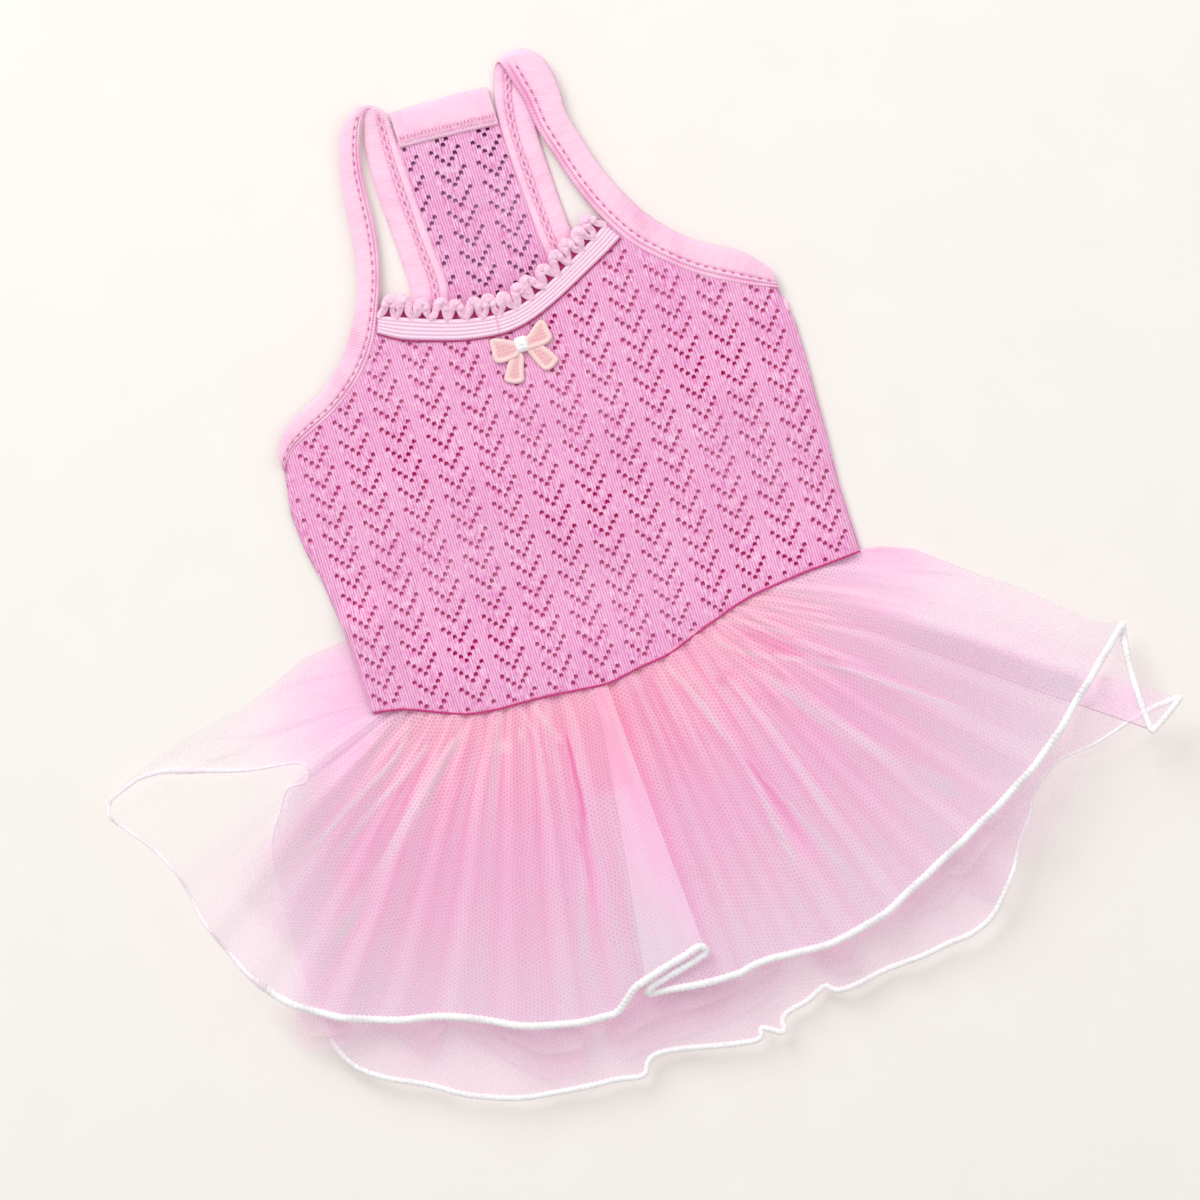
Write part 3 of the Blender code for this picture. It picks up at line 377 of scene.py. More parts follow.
def joined(parts):
    """One set of points and faces from several."""
    points, faces, start = [], [], 0
    for part_points, part_faces in parts:
        points.append(np.asarray(part_points, dtype=float).reshape(-1, 3))
        faces += [[index + start for index in face] for face in part_faces]
        start += len(points[-1])
    return np.vstack(points), faces


# ---------------------------------------------------------------- materials

def srgb(colour):
    """Linear colour from an sRGB hex value."""
    parts = [int(colour[place:place + 2], 16) / 255 for place in (1, 3, 5)]
    return (*(p / 12.92 if p <= 0.04045 else ((p + 0.055) / 1.055) ** 2.4 for p in parts), 1.0)


def add_node(tree, kind, inputs=(), output=0, stops=(), **settings):
    """Adds a node with its settings, socket values and links, and gives an output of it."""
    made = tree.nodes.new("ShaderNode" + kind)
    for setting, value in settings.items():
        setattr(made, setting, value)
    for place, value in inputs.items() if isinstance(inputs, dict) else enumerate(inputs):
        if isinstance(value, bpy.types.NodeSocket):
            tree.links.new(value, made.inputs[place])
        else:
            made.inputs[place].default_value = value
    for number, (place, colour) in enumerate(stops):
        elements = made.color_ramp.elements
        element = elements[number] if number < 2 else elements.new(1.0)
        element.position, element.color = place, srgb(colour)
    return made.outputs[output]


def begun(name):
    """A new material, and the function that adds a node to it."""
    material = bpy.data.materials.new(name)
    material.use_nodes = True
    return material, partial(add_node, material.node_tree)


def finish(material, roughness, sheen, linked, **plain):
    """The material's Principled finish: linked sockets, and plain values on the shader."""
    shader = material.node_tree.nodes["Principled BSDF"]
    shader.inputs["Roughness"].default_value = roughness
    shader.inputs["Sheen Weight"].default_value = sheen
    for socket, value in plain.items():
        shader.inputs[socket.replace("_", " ")].default_value = value
    for socket, output in linked.items():
        material.node_tree.links.new(output, shader.inputs[socket])
    return material


def ridges(node, place, direction, pitch):
    """Even ridges across a direction of the cloth, from -1 to 1."""
    rate = 2 * math.pi / pitch
    along = node("VectorMath", (place, (direction[0] * rate, direction[1] * rate, 0.0)), "Value",
                 operation="DOT_PRODUCT")
    return node("Math", (along,), operation="COSINE")


def pointelle_knit(name, light, middle, deep, rim):
    """Combed cotton pointelle jersey: matt, fine wales, eyelets rimmed and filled with painted
    shade.
    """
    material, node = begun(name)
    place = node("UVMap", uv_map="cloth")
    # Real wales are 0.75 mm and courses 0.6 mm, too fine to show
    wales = ridges(node, place, (1.0, 0.0), 0.93)
    courses = ridges(node, place, (0.0, 1.0), 1.1)
    fibre = node("TexNoise", {"Vector": place, "Scale": 1.3, "Detail": 3.0, "Roughness": 0.6})
    drawn = node("VectorMath", (place, (1.15, 0.3, 1.0)), operation="MULTIPLY")
    streak = node("TexNoise", {"Vector": drawn, "Scale": 1.0, "Detail": 2.0, "Roughness": 0.7})
    patch = node("TexNoise", {"Vector": place, "Scale": 0.045, "Detail": 2.0})
    lace = node("Attribute", output="Fac", attribute_name="lace")
    pull = node("Math", (lace, 0.75, 0.2), operation="MULTIPLY_ADD")
    streak = node("Math", (streak, 0.5), operation="SUBTRACT")
    streak = node("Math", (streak, pull), operation="MULTIPLY")
    loops = node("Math", (courses, 0.08, wales), operation="MULTIPLY_ADD")
    relief = node("Math", (fibre, 1.6, loops), operation="MULTIPLY_ADD")
    strands = node("Math", (fibre, 2.0, wales), operation="MULTIPLY_ADD")
    shade = node("Math", (strands, 0.13, streak), operation="MULTIPLY_ADD")
    shade = node("Math", (patch, 0.14, shade), operation="MULTIPLY_ADD")
    yarn = node("ValToRGB", (shade,), stops=((0.0, deep), (0.25, middle), (0.58, light)))
    # Painted shade: the eyelets take the rim colour, which stands for the shaded cloth seen through
    # a hole
    eyelet = node("Attribute", output="Fac", attribute_name="eyelet")
    edge = node("Math", (eyelet, 1.3), operation="POWER")
    colour = node("Mix", {0: edge, 6: yarn, 7: srgb(rim)}, 2, data_type="RGBA")
    normal = node("Bump", {"Height": relief, "Strength": 0.4, "Distance": 0.0004})
    return finish(material, 0.92, 0.06, {"Base Color": colour, "Normal": normal},
                  Specular_IOR_Level=0.12)


def jersey(name, light, deep):
    """Single jersey cut on the bias and folded: smooth, matt, very fine ribs."""
    material, node = begun(name)
    place = node("UVMap", uv_map="cloth")
    ribs = ridges(node, place, (0.25, 1.0), 0.95)  # real ribs lie closer, too fine to show
    fibre = node("TexNoise", {"Vector": place, "Scale": 1.1, "Detail": 3.0, "Roughness": 0.6})
    patch = node("TexNoise", {"Vector": place, "Scale": 0.07, "Detail": 1.0})
    relief = node("Math", (ribs, 0.3, fibre), operation="MULTIPLY_ADD")
    shade = node("Math", (relief, 0.4, patch), operation="MULTIPLY_ADD")
    # Painted shade: a binding's folded edges and stitched dips are darkened by this mask
    groove_shade = node("Attribute", output="Fac", attribute_name="groove_shade")
    shade = node("Math", (groove_shade, -0.9, shade), operation="MULTIPLY_ADD")
    colour = node("ValToRGB", (shade,), stops=((0.0, deep), (0.7, light)))
    normal = node("Bump", {"Height": relief, "Strength": 0.2, "Distance": 0.0003})
    return finish(material, 0.85, 0.1, {"Base Color": colour, "Normal": normal},
                  Specular_IOR_Level=0.2)


def ribbed_elastic(name, light, deep):
    """Woven elastic: covered rubber cords side by side, a pale ridge over each."""
    material, node = begun(name)
    place = node("UVMap", uv_map="cloth")
    cords = ridges(node, place, (0.0, 1.0), 1.25)
    picks = ridges(node, place, (1.0, 0.0), 0.9)
    fibre = node("TexNoise", {"Vector": place, "Scale": 1.5, "Detail": 2.0})
    relief = node("Math", (picks, 0.15, cords), operation="MULTIPLY_ADD")
    shade = node("Math", (relief, 0.28, fibre), operation="MULTIPLY_ADD")
    colour = node("ValToRGB", (shade,), stops=((0.15, deep), (0.6, light)))
    normal = node("Bump", {"Height": relief, "Strength": 0.4, "Distance": 0.0003})
    return finish(material, 0.7, 0.05, {"Base Color": colour, "Normal": normal},
                  Specular_IOR_Level=0.2)


def nylon_net(name, pale, middle, deep, salmon, pitch, haze):
    """Nylon net knitted in hexagons: sheer holes, threads that cover more."""
    material, node = begun(name)
    place = node("UVMap", uv_map="cloth")
    pull = node("TexNoise", {"Vector": place, "Scale": 0.035, "Detail": 1.0}, "Color")
    place = node("VectorMath", (pull, (7.0, 7.0, 0.0), place), operation="MULTIPLY_ADD")
    rate = 2 / math.sqrt(3)
    across = ridges(node, place, (rate, 0.0), pitch)
    left = ridges(node, place, (-rate / 2, 1.0), pitch)
    right = ridges(node, place, (-rate / 2, -1.0), pitch)
    lattice = node("Math", (across, left), operation="ADD")
    lattice = node("Math", (lattice, right), operation="ADD")
    # 3 in the middle of a hole, -1.5 where three threads meet
    cover = node("MapRange", {"Value": lattice, "From Min": -0.4, "From Max": 1.6, "To Min": 1.0,
                              "To Max": haze}, interpolation_type="SMOOTHSTEP")
    cloud = node("TexNoise", {"Vector": place, "Scale": 0.05, "Detail": 2.0})
    piled = node("Attribute", output="Fac", attribute_name="cover")
    varied = node("Math", (cloud, 0.3, 0.85), operation="MULTIPLY_ADD")
    cover = node("Math", (cover, varied), operation="MULTIPLY")
    cover = node("Math", (cover, piled), operation="MULTIPLY")
    alpha = node("Math", (cover, 0.97), operation="MINIMUM")
    tone = node("Attribute", output="Fac", attribute_name="tone")
    tone = node("Math", (cloud, 0.25, tone), operation="MULTIPLY_ADD")
    tint = node("ValToRGB", (tone,),
                stops=((0.0, WING_TINT), (0.28, pale), (0.62, middle), (1.0, deep)))
    warm = node("Attribute", output="Fac", attribute_name="warm")
    colour = node("Mix", {0: warm, 6: tint, 7: srgb(salmon)}, 2, data_type="RGBA",
                  blend_type="MULTIPLY")
    return finish(material, 0.6, 0.0, {"Base Color": colour, "Alpha": alpha},
                  Specular_IOR_Level=0.0)


def spun_thread(name, colour, shade, roughness, relief=0.6):
    """Thread or yarn: fine strands that catch the light across their twist."""
    material, node = begun(name)
    place = node("TexCoord", output="Object")
    strands = node("TexNoise", {"Vector": place, "Scale": 900.0, "Detail": 2.0})
    tint = node("ValToRGB", (strands,), stops=((0.25, shade), (0.6, colour)))
    normal = node("Bump", {"Height": strands, "Strength": relief, "Distance": 0.0002})
    return finish(material, roughness, 0.1, {"Base Color": tint, "Normal": normal},
                  Specular_IOR_Level=0.2)


def rayon_embroidery(name, deep, middle, light):
    """Rayon satin stitch: silky, a pale padded rim round a deeper filled field."""
    material, node = begun(name)
    place = node("UVMap", uv_map="cloth")
    stripes = ridges(node, place, (1.0, 0.0), 0.85)  # real stitches lie 0.4 mm apart
    rungs = ridges(node, place, (0.0, 1.0), 1.3)
    fill = node("TexNoise", {"Vector": place, "Scale": 1.6, "Detail": 2.0})
    rim = node("Attribute", output="Fac", attribute_name="rim")
    tone = node("Math", (fill, 0.5), operation="MULTIPLY")
    tone = node("Math", (stripes, 0.09, tone), operation="MULTIPLY_ADD")
    tone = node("Math", (rungs, 0.05, tone), operation="MULTIPLY_ADD")
    tone = node("Math", (rim, 0.4, tone), operation="MULTIPLY_ADD")
    colour = node("ValToRGB", (tone,), stops=((0.1, deep), (0.35, middle), (0.8, light)))
    normal = node("Bump", {"Height": stripes, "Strength": 0.3, "Distance": 0.0002})
    return finish(material, 0.45, 0.2, {"Base Color": colour, "Normal": normal})


def matt_paper(name, light, shade):
    """Matt warm white paper: no gloss, an even grain."""
    material, node = begun(name)
    place = node("TexCoord", output="Object")
    grain = node("TexNoise", {"Vector": place, "Scale": 40.0, "Detail": 3.0})
    colour = node("ValToRGB", (grain,), stops=((0.0, shade), (1.0, light)))
    return finish(material, 0.9, 0.0, {"Base Color": colour}, Specular_IOR_Level=0.1)


WING_TINT = "#E8E3E8"
# Each knit's last colour is painted shade for its eyelets; the back's is darker, for the shaded
# paper seen through them
FRONT_KNIT = pointelle_knit("orchid cotton pointelle, front", "#FFEFFA", "#FDBAE2", "#E67FC4",
                            "#B00058")
BACK_KNIT = pointelle_knit("orchid cotton pointelle, back", "#FFEEFA", "#FBBAE2", "#E07CC0",
                           "#4E0034")
BINDING_JERSEY = jersey("pale pink cotton jersey", "#FFD3EA", "#EA90C2")
OUTER_TULLE = nylon_net("lilac pink nylon tulle", "#F6DCEE", "#FCCBE9", "#F190C6", "#FFF3ED",
                        1.4, 0.64)
INNER_NET = nylon_net("salmon pink nylon net", "#F8DDEE", "#FFB8DE", "#F588BE", "#FFECE2",
                      1.5, 0.68)
WOVEN_ELASTIC = ribbed_elastic("pale pink woven elastic", "#FFE0F2", "#F9C3E2")
HEM_THREAD = spun_thread("white overlock thread", "#FFFFFF", "#F3ECF3", 0.6)
FAINT_THREAD = spun_thread("sheer lilac overlock thread", "#FFF7FC", "#F6E6F0", 0.6)
# Also painted shade, as the strip under the picots and along the waist seam
SEAM_THREAD_AND_SHADE = spun_thread("magenta seam thread", "#D2458C", "#B8246C", 0.7)
STITCH_THREAD = spun_thread("pink coverstitch thread", "#E786B8", "#D467A2", 0.6)
CHAIN_THREAD = spun_thread("pale pink looper thread", "#FAC6E1", "#F0A4CC", 0.7)
PICOT_YARN = spun_thread("pale pink picot yarn", "#FDD9EC", "#F3B3D6", 0.85)
EMBROIDERY = rayon_embroidery("rose pink rayon embroidery", "#EAA2AC", "#F8C8CA", "#FFE2DE")
KNOT_SATIN = spun_thread("white satin ribbon", "#FFFFFF", "#FBEFF2", 0.3, 0.2)
WHITE_PAPER = matt_paper("warm white paper", "#F9F6F2", "#F6F2ED")


# ---------------------------------------------------------------- skirt

FAN_CURVE = rounded(FAN, 5)


def fan_point(line, reach):
    """The point in plan at a place between fan lines, and a share of the way to the hem."""
    line = np.clip(line, 0.0, FAN_END)
    lines = np.linspace(0, FAN_END, len(FAN_CURVE))
    waist_x, waist_y, hem_x, hem_y = (np.interp(line, lines, column) for column in FAN_CURVE.T)
    x = waist_x + (hem_x - waist_x) * reach
    y = waist_y + (hem_y - waist_y) * reach
    y = y + at(FLARE, reach, 1) * at(FLARE_FADE, line)
    y = y + at(FLARE, reach, 2) * at(FLARE_FADE, FAN_END - line)
    return x, y


def plan(line, reach):
    """The same point as one array."""
    return np.stack(fan_point(line, reach), -1)


def pleat(line, reach):
    """How far the pleats raise the skirt there."""
    crests = np.asarray(PLEATS)[:, 0]
    after = np.clip(np.searchsorted(crests, line, side="right"), 1, len(crests) - 1)
    phase = (line - crests[after - 1]) / (crests[after] - crests[after - 1])
    share = np.minimum(1.0, np.maximum(reach, 0.0)) ** 0.7
    rise = at(PLEATS, line, 1) * (1 - share) + at(PLEATS, line, 2) * share
    rise = rise * (0.5 + 0.5 * np.cos(2 * np.pi * phase))
    return rise * np.maximum(smooth((line - 1.0) / 2.0), smooth((reach - 0.15) / 0.35))


def fullness(line):
    """1 over most of the skirt, 0 at both of its folded sides."""
    return smooth((line - 1.7) / 1.2) * smooth((FAN_END - line) / 1.4)


def height(layer, line, reach):
    """Centre height of a layer of the skirt."""
    waist, hem, share = layer
    base = waist + hem * np.minimum(1.2, reach)
    if layer not in (NET_BACK, NET_FRONT):
        folded = OUTER_BACK[0] + (WING_FOLD if layer is OUTER_FRONT else 0.0)
        base = folded + (base - folded) * fullness(line)
    spring = (np.maximum(0.0, reach - 0.35) / 0.65) ** 2
    loft = (HEM_LOFT + RIGHT_LOFT * smooth((line - 15.0) / 4.0)) * spring
    return base + loft + share * pleat(line, reach)


def gathers(line, reach, seed):
    """Fine gathers that start at the waist seam and open out below it."""
    near = (1 - smooth(reach / 0.62)) * smooth((reach - 0.01) / 0.1)
    fine = np.sin(2 * np.pi * line / GATHERS[0] + 1.5 * np.sin(line * 1.9 + seed) + seed)
    broad = np.sin(2 * np.pi * line / GATHERS[1] + 1.2 * np.sin(line * 0.9 - seed) + 2 * seed)
    return (0.42 * fine + 0.5 * broad) * near


SKIRT_ROWS = np.concatenate((
    (-0.035, -0.015, 0.0, 0.015, 0.03, 0.05, 0.075, 0.1, 0.13), np.arange(0.16, 0.9601, 0.032),
    (0.985, 1.0),
))
SKIRT_STEP = 0.055  # fan lines between two columns of its front
FIRST_COLUMN = 0.26
LAST_COLUMN = FAN_END - 0.14
# Where the pleats of the outer tier's front run, from the waist to the hem
DRIFT = (
    # fan line at the waist, at the hem
    (0, 0), (2, 1.7), (5.1, 4.4), (6.7, 5.75), (8.2, 7.6), (9.45, 9.75), (10.3, 10.25),
    (12.5, 12.55), (13.3, 13.5), (14.2, 14.6), (15.9, 17.1), (17.1, 19), (19, 20.3), (20.5, 21.1),
    (22, 22),
)
# Main creases of the outer tier's front. A pale one is folded cloth, a deep one a valley
# A valley's deeper tone is partly more layers of net and partly painted shade
CREASES = (
    # rise, share of the width on the left, tone, added cover, then x, y and width of its run
    (1.3, 0.5, -0.2, 0.2, ((-51, -41, 3), (-60, -47, 5), (-70, -56, 6.5), (-82, -67.5, 7),
     (-94, -79, 7.5), (-107, -90, 8), (-122, -101, 10))),
    (0.9, 0.6, -0.32, 0.2, ((-70, -33, 1.6), (-77, -43, 2), (-88, -50, 2), (-100, -57, 2),
     (-112, -64, 2.4), (-124, -70, 3))),
    (0.9, 0.6, -0.26, 0.2, ((-66, -42, 1.6), (-76, -50, 2), (-88, -57, 2.6), (-100, -64.5, 3.4),
     (-110, -71, 5))),
    (-0.4, 0.5, 0.15, 0.1, ((-66, -45, 3), (-74, -52, 6), (-86, -62, 8), (-100, -73, 10),
     (-114, -84, 12))),
    (-0.3, 0.5, 0.2, 0.6, ((-84, -33, 8), (-92, -38, 13), (-102, -43, 16), (-113, -47, 14))),
    (0.7, 0.4, -0.28, 0.2, ((-29, -40, 2.2), (-27, -46, 2.4), (-24.5, -53, 2.2),
     (-22, -60, 1.6))),
    (0.6, 0.5, -0.24, 0.2, ((-34, -40, 1.8), (-31.5, -48, 1.8), (-30.5, -58, 1.6))),
    (0.8, 0.5, -0.26, 0.2, ((-48, -50.5, 1.5), (-42, -51.5, 2), (-36, -49.5, 2), (-33.5, -45, 2),
     (-34.5, -41, 1.6))),
    (0.6, 0.5, -0.24, 0.2, ((-42.5, -40, 1.6), (-43.2, -45, 1.8), (-41, -49, 1.6))),
    (-0.3, 0.5, 0.38, 0.1, ((-20.8, -52, 1.5), (-21.6, -62, 2), (-22.2, -71, 2.2),
     (-23, -80, 2.6), (-24, -88, 3))),
    (-0.3, 0.5, 0.22, 0.1, ((-22.8, -76, 2), (-24.3, -84, 4), (-26.2, -96, 6.5), (-27.5, -108, 8),
     (-28.8, -122, 9))),
    (0.5, 0.5, -0.22, 0.1, ((-25.6, -80, 1.6), (-29.3, -96, 2.4), (-32, -106, 3.2),
     (-35.5, -118, 3.8), (-39.5, -134, 4.5))),
    (0.4, 0.5, -0.2, 0, ((-22.3, -82, 1.5), (-22.6, -100, 2), (-23.5, -120, 2.4),
     (-24.8, -140, 2.6))),
    (0, 0.5, -0.24, 0.08, ((-12, -74, 16), (-11.5, -90, 23), (-11, -112, 25), (-10.5, -146, 28))),
    (0, 0.9, -0.2, 0.1, ((-2.2, -50, 1.6), (-1.9, -65, 1.8), (-0.8, -80, 2.2), (0.2, -95, 2.6),
     (1.2, -118, 2.8), (2.4, -138, 3))),
    (-0.2, 0.5, 0.1, 0, ((6, -44, 10), (7, -58, 12), (8, -72, 13), (9, -90, 12))),
    (0.9, 0.5, -0.28, 0.2, ((17, -39, 2.4), (22, -48, 3), (26, -58, 2.8), (29.5, -67, 2.2),
     (33, -78, 2), (35.3, -88, 2.2), (37, -100, 2.8), (38.6, -112, 3.4), (40, -126, 4))),
    (-0.5, 0.5, 0.28, 0.12, ((30, -69, 1), (34, -79, 2.2), (37.8, -89, 4.2), (40.8, -99, 6.4),
     (43.3, -109, 8), (46, -121, 9))),
    (0.5, 0.3, -0.2, 0.1, ((37, -84, 1.2), (43, -96, 1.8), (47.6, -106, 2.4), (52, -117, 3),
     (57, -132, 4))),
    (0.9, 0.4, -0.22, 0.16, ((36, -33, 1.8), (38.5, -40, 2), (45, -45.4, 2.2), (54, -49.5, 2.2),
     (62, -53, 2), (72, -58, 2), (82, -65, 2.2), (92, -72.5, 2.6), (102, -80, 3), (116, -90, 4))),
    (-0.3, 0.5, 0.16, 0.1, ((45, -37, 2), (50, -41, 4.5), (57, -46, 4.5), (64, -50.6, 3),
     (70, -54.6, 2))),
    (-0.3, 0.5, 0.17, 0.1, ((66, -51.5, 1.4), (76, -57.5, 2.2), (86, -65, 2.8), (95, -72, 3.2),
     (105, -79.4, 3.6), (116, -87.6, 4))),
    (0.6, 0.5, -0.2, 0.1, ((38, -30.5, 1.6), (47, -34.5, 1.6), (57, -40.5, 1.5),
     (68, -48.5, 1.4))),
    (0.9, 0.5, -0.21, 0.12, ((46, -50, 3), (53, -59, 4.4), (61, -70, 5.6), (70, -81, 6.6),
     (80, -92, 7.6), (92, -104, 9), (104, -115, 10))),
    (0.6, 0.5, -0.18, 0.12, ((35, -48, 2), (41, -60, 2.8), (46, -72, 3.4), (50, -84, 4),
     (54, -98, 4.8), (58, -114, 5.6))),
    (-0.2, 0.5, 0.19, 0, ((29, -56, 1.2), (34, -52, 1.4), (40, -49.3, 1.4), (46, -47.8, 1.2))),
    (0.4, 0.6, 0.05, 0.25, ((80, -27, 1.8), (92, -34, 2), (103, -39.5, 2.2), (112, -44, 2.4),
     (122, -48.5, 2.4), (132, -54, 2.4), (144, -62, 2.4))),
    (0.4, 0.5, 0.1, 1.2, ((97, -31, 1.2), (108, -35.5, 1.5), (118, -39.2, 1.6), (128, -44, 1.4))),
    (0.4, 0.5, -0.04, 0.2, ((122, -47, 2), (128, -58, 3), (134, -70, 4), (141, -84, 5),
     (148, -96, 5))),
    (0.5, 0.6, 0.2, 1.5, ((-84, -24, 1.6), (-98, -23, 1.8), (-112, -24.2, 2), (-124, -22.8, 1.8),
     (-134, -20.6, 1.6), (-142, -18, 1.4))),
    (0.4, 0.5, 0.12, 0.9, ((-83, -12, 1.4), (-95, -10.5, 1.6), (-110, -10.2, 1.8),
     (-122, -10.8, 1.6), (-138, -13, 1.4))),
    (0.4, 0.5, 0.15, 1, ((-86, -22, 1.4), (-92, -19, 1.8), (-98, -16, 1.8), (-106, -14, 1.4))),
    (0.4, 0.5, 0.05, 1.3, ((-170, -24.5, 1.4), (-158, -26, 1.8), (-148, -27, 1.8),
     (-134, -26.6, 1.8), (-118, -26.6, 1.6))),
)
WEIGHT = (
    # fan line, cover of one tulle layer at its hem, added near the waist, added half way down
    (0, 0.12, 0.20, 0.1), (1.5, 0.10, 0.30, 0.15), (2.8, 0.14, 0.36, 0.2), (4, 0.36, 0.42, 0),
    (5.5, 0.46, 0.38, 0), (8, 0.56, 0.32, 0), (12, 0.58, 0.30, 0), (17, 0.56, 0.32, 0),
    (19.5, 0.46, 0.40, 0.1), (21, 0.3, 0.42, 0.3), (22, 0.18, 0.38, 0.2),
)


def drifted(line, reach):
    """The fan line that a pleat has reached, by its line at the waist."""
    return line + (at(DRIFT, line) - line) * (1 - (1 - np.clip(reach, 0.0, 1.0)) ** 2.2)


def creases(x, y):
    """Lift, tone and cover that the main creases add at places in plan."""
    lift, tone, cover = np.zeros(x.shape), np.zeros(x.shape), np.zeros(x.shape)
    for rise, left, deeper, denser, run in CREASES:
        run = rounded(run, 2)
        nearest, side = np.full(x.shape, 1e9), np.zeros(x.shape)
        width, fade = np.ones(x.shape), np.zeros(x.shape)
        along = distances(run[:, :2])
        for number, (start, end) in enumerate(zip(run, run[1:])):
            span = end - start
            share = ((x - start[0]) * span[0] + (y - start[1]) * span[1]) / (span[:2] @ span[:2])
            share = np.clip(share, 0.0, 1.0)
            dx, dy = x - start[0] - share * span[0], y - start[1] - share * span[1]
            gap = np.hypot(dx, dy)
            closer = gap < nearest
            nearest = np.where(closer, gap, nearest)
            side = np.where(closer, span[0] * dy - span[1] * dx, side)
            width = np.where(closer, start[2] + span[2] * share, width)
            gone = along[number] + (along[number + 1] - along[number]) * share
            ends = smooth(gone / 5.0) * smooth((along[-1] - gone) / 14.0)
            fade = np.where(closer, ends, fade)
        share = 1 - nearest / (width * np.where(side > 0, 1 - left, left))
        lift = lift + rise * smooth(share) * fade
        # A deeper tone in a valley is partly painted shade
        tone = tone + deeper * smooth(share * 1.6) * fade
        cover = cover + denser * smooth(share * 1.6) * fade
    return lift, tone, cover


def layer_point(layer, place, reach, lift):
    """Points of a layer at places between fan lines, raised."""
    x, y = fan_point(place, reach)
    z = height(layer, place, reach) + lift
    if layer is OUTER_FRONT:
        z = z - 0.9 * (1 - smooth(reach / 0.05)) * fullness(place)
        sunk = np.clip(-reach / 0.03, 0.0, 1.0)
        z = z - np.maximum(z - 3.3, 0.0) * sunk
    return np.stack((x, y, z), axis=-1)


def pleat_over_columns():
    """Place, reach, lift and part of the columns of the pleat that folds over itself."""
    rows = SKIRT_ROWS
    table = np.array(FOLD_OVER)
    start, edge, underlap, radius = read(table[:, 1:], table[:, 0], rows).T
    pitch = 2 * np.linalg.norm(plan(edge + 0.25, rows) - plan(edge - 0.25, rows), axis=-1)
    right_centre = edge - (FOLD_BULGE * radius + 0.3) / pitch
    left_centre = right_centre - underlap / pitch
    risen = left_centre - (radius + 1.3) / pitch
    level = 0 * rows
    columns = []
    for part, count, first, last in FOLD_OVER_PARTS:
        for column in range(count + (part == "bottom")):
            share = column / count
            angle = math.pi * share
            line, lift = {
                "rise": (start + (risen - start) * share, 4 * smooth(share)),
                "top": (risen + (right_centre - risen) * share, 4 + level),
                "right turn": (right_centre + FOLD_BULGE * radius * math.sin(angle) / pitch,
                               3 + math.cos(angle) + level),
                "middle": (right_centre + (left_centre - right_centre) * share, 2 + level),
                "left turn": (left_centre - radius * math.sin(angle) / pitch,
                              1 + math.cos(angle) + level),
                "bottom": (left_centre + (FOLD_OVER_END - left_centre) * share, level),
            }[part]
            eased = smooth(share) if part in ("rise", "right turn") else share
            lift = lift * radius * (0.15 + 0.85 * smooth(rows / 0.14))
            if part in ("rise", "top"):
                lift = lift + gathers(line, rows, 0.4) * 0.7
            columns.append((line, rows * (first + (last - first) * eased), lift, part))
    return columns


def fold_turn(line, front, back, rows, scale, outward, steps=6):
    """Points round a folded edge, from the first layer to the second."""
    reach = rows * scale
    place = np.full_like(rows, line)
    low, high = height(back, place, reach), height(front, place, reach)
    along = unit(plan(place, 1.0) - plan(place, 0.0))
    side = np.stack((along[:, 1], -along[:, 0]), -1) * outward
    start, end = (high, low) if outward < 0 else (low, high)
    columns = []
    for step in range(1, steps):
        angle = math.pi * step / steps
        z = (start + end) / 2 + (start - end) / 2 * math.cos(angle)
        sideways = side * (np.abs(high - low) / 2 * (math.sin(angle) - 1.0))[:, None]
        columns.append(np.column_stack((plan(place, reach) + sideways, z)))
    return columns


def shades(place, reach):
    """Cover, tone and warmth of the tulle at a place."""
    near = 1 - smooth(reach / 0.5)
    cover = at(WEIGHT, place, 1) + at(WEIGHT, place, 2) * near
    cover = cover + at(WEIGHT, place, 3) * smooth(1.0 - reach / 0.8)
    tone = 0.52 + 0.1 * near - 0.34 * smooth((reach - 0.35) / 0.65)
    apart = 0.55 + 0.45 * smooth((reach - 0.1) / 0.5)  # the wings pale away from the waist
    tone = tone - 0.42 * smooth((7.4 - place) / 5.3) * apart
    tone = tone - 0.3 * smooth((place - 17.5) / 3.5) * apart
    tone = np.maximum(tone, 0.22 * smooth((place - 2.0) / 2.5))
    warm = (1 - smooth((reach - 0.05) / 0.42)) * smooth((place - 3.0) / 2.0)
    return cover, tone, warm * smooth((21.4 - place) / 2.0)


def planar_cloth(points, faces, facets, turns):
    """UV in mm, flat on each facet and turned to its run."""
    corners = points[faces][:, :, :2]
    uv = np.zeros_like(corners)
    for facet in np.unique(facets):
        mine = facets == facet
        angle = turns[mine].mean()
        c, s = math.cos(angle), math.sin(angle)
        x, y = corners[mine][..., 0], corners[mine][..., 1]
        uv[mine] = np.stack((c * x + s * y + 3.1 * facet, -s * x + c * y + 1.7 * facet), -1)
    return uv


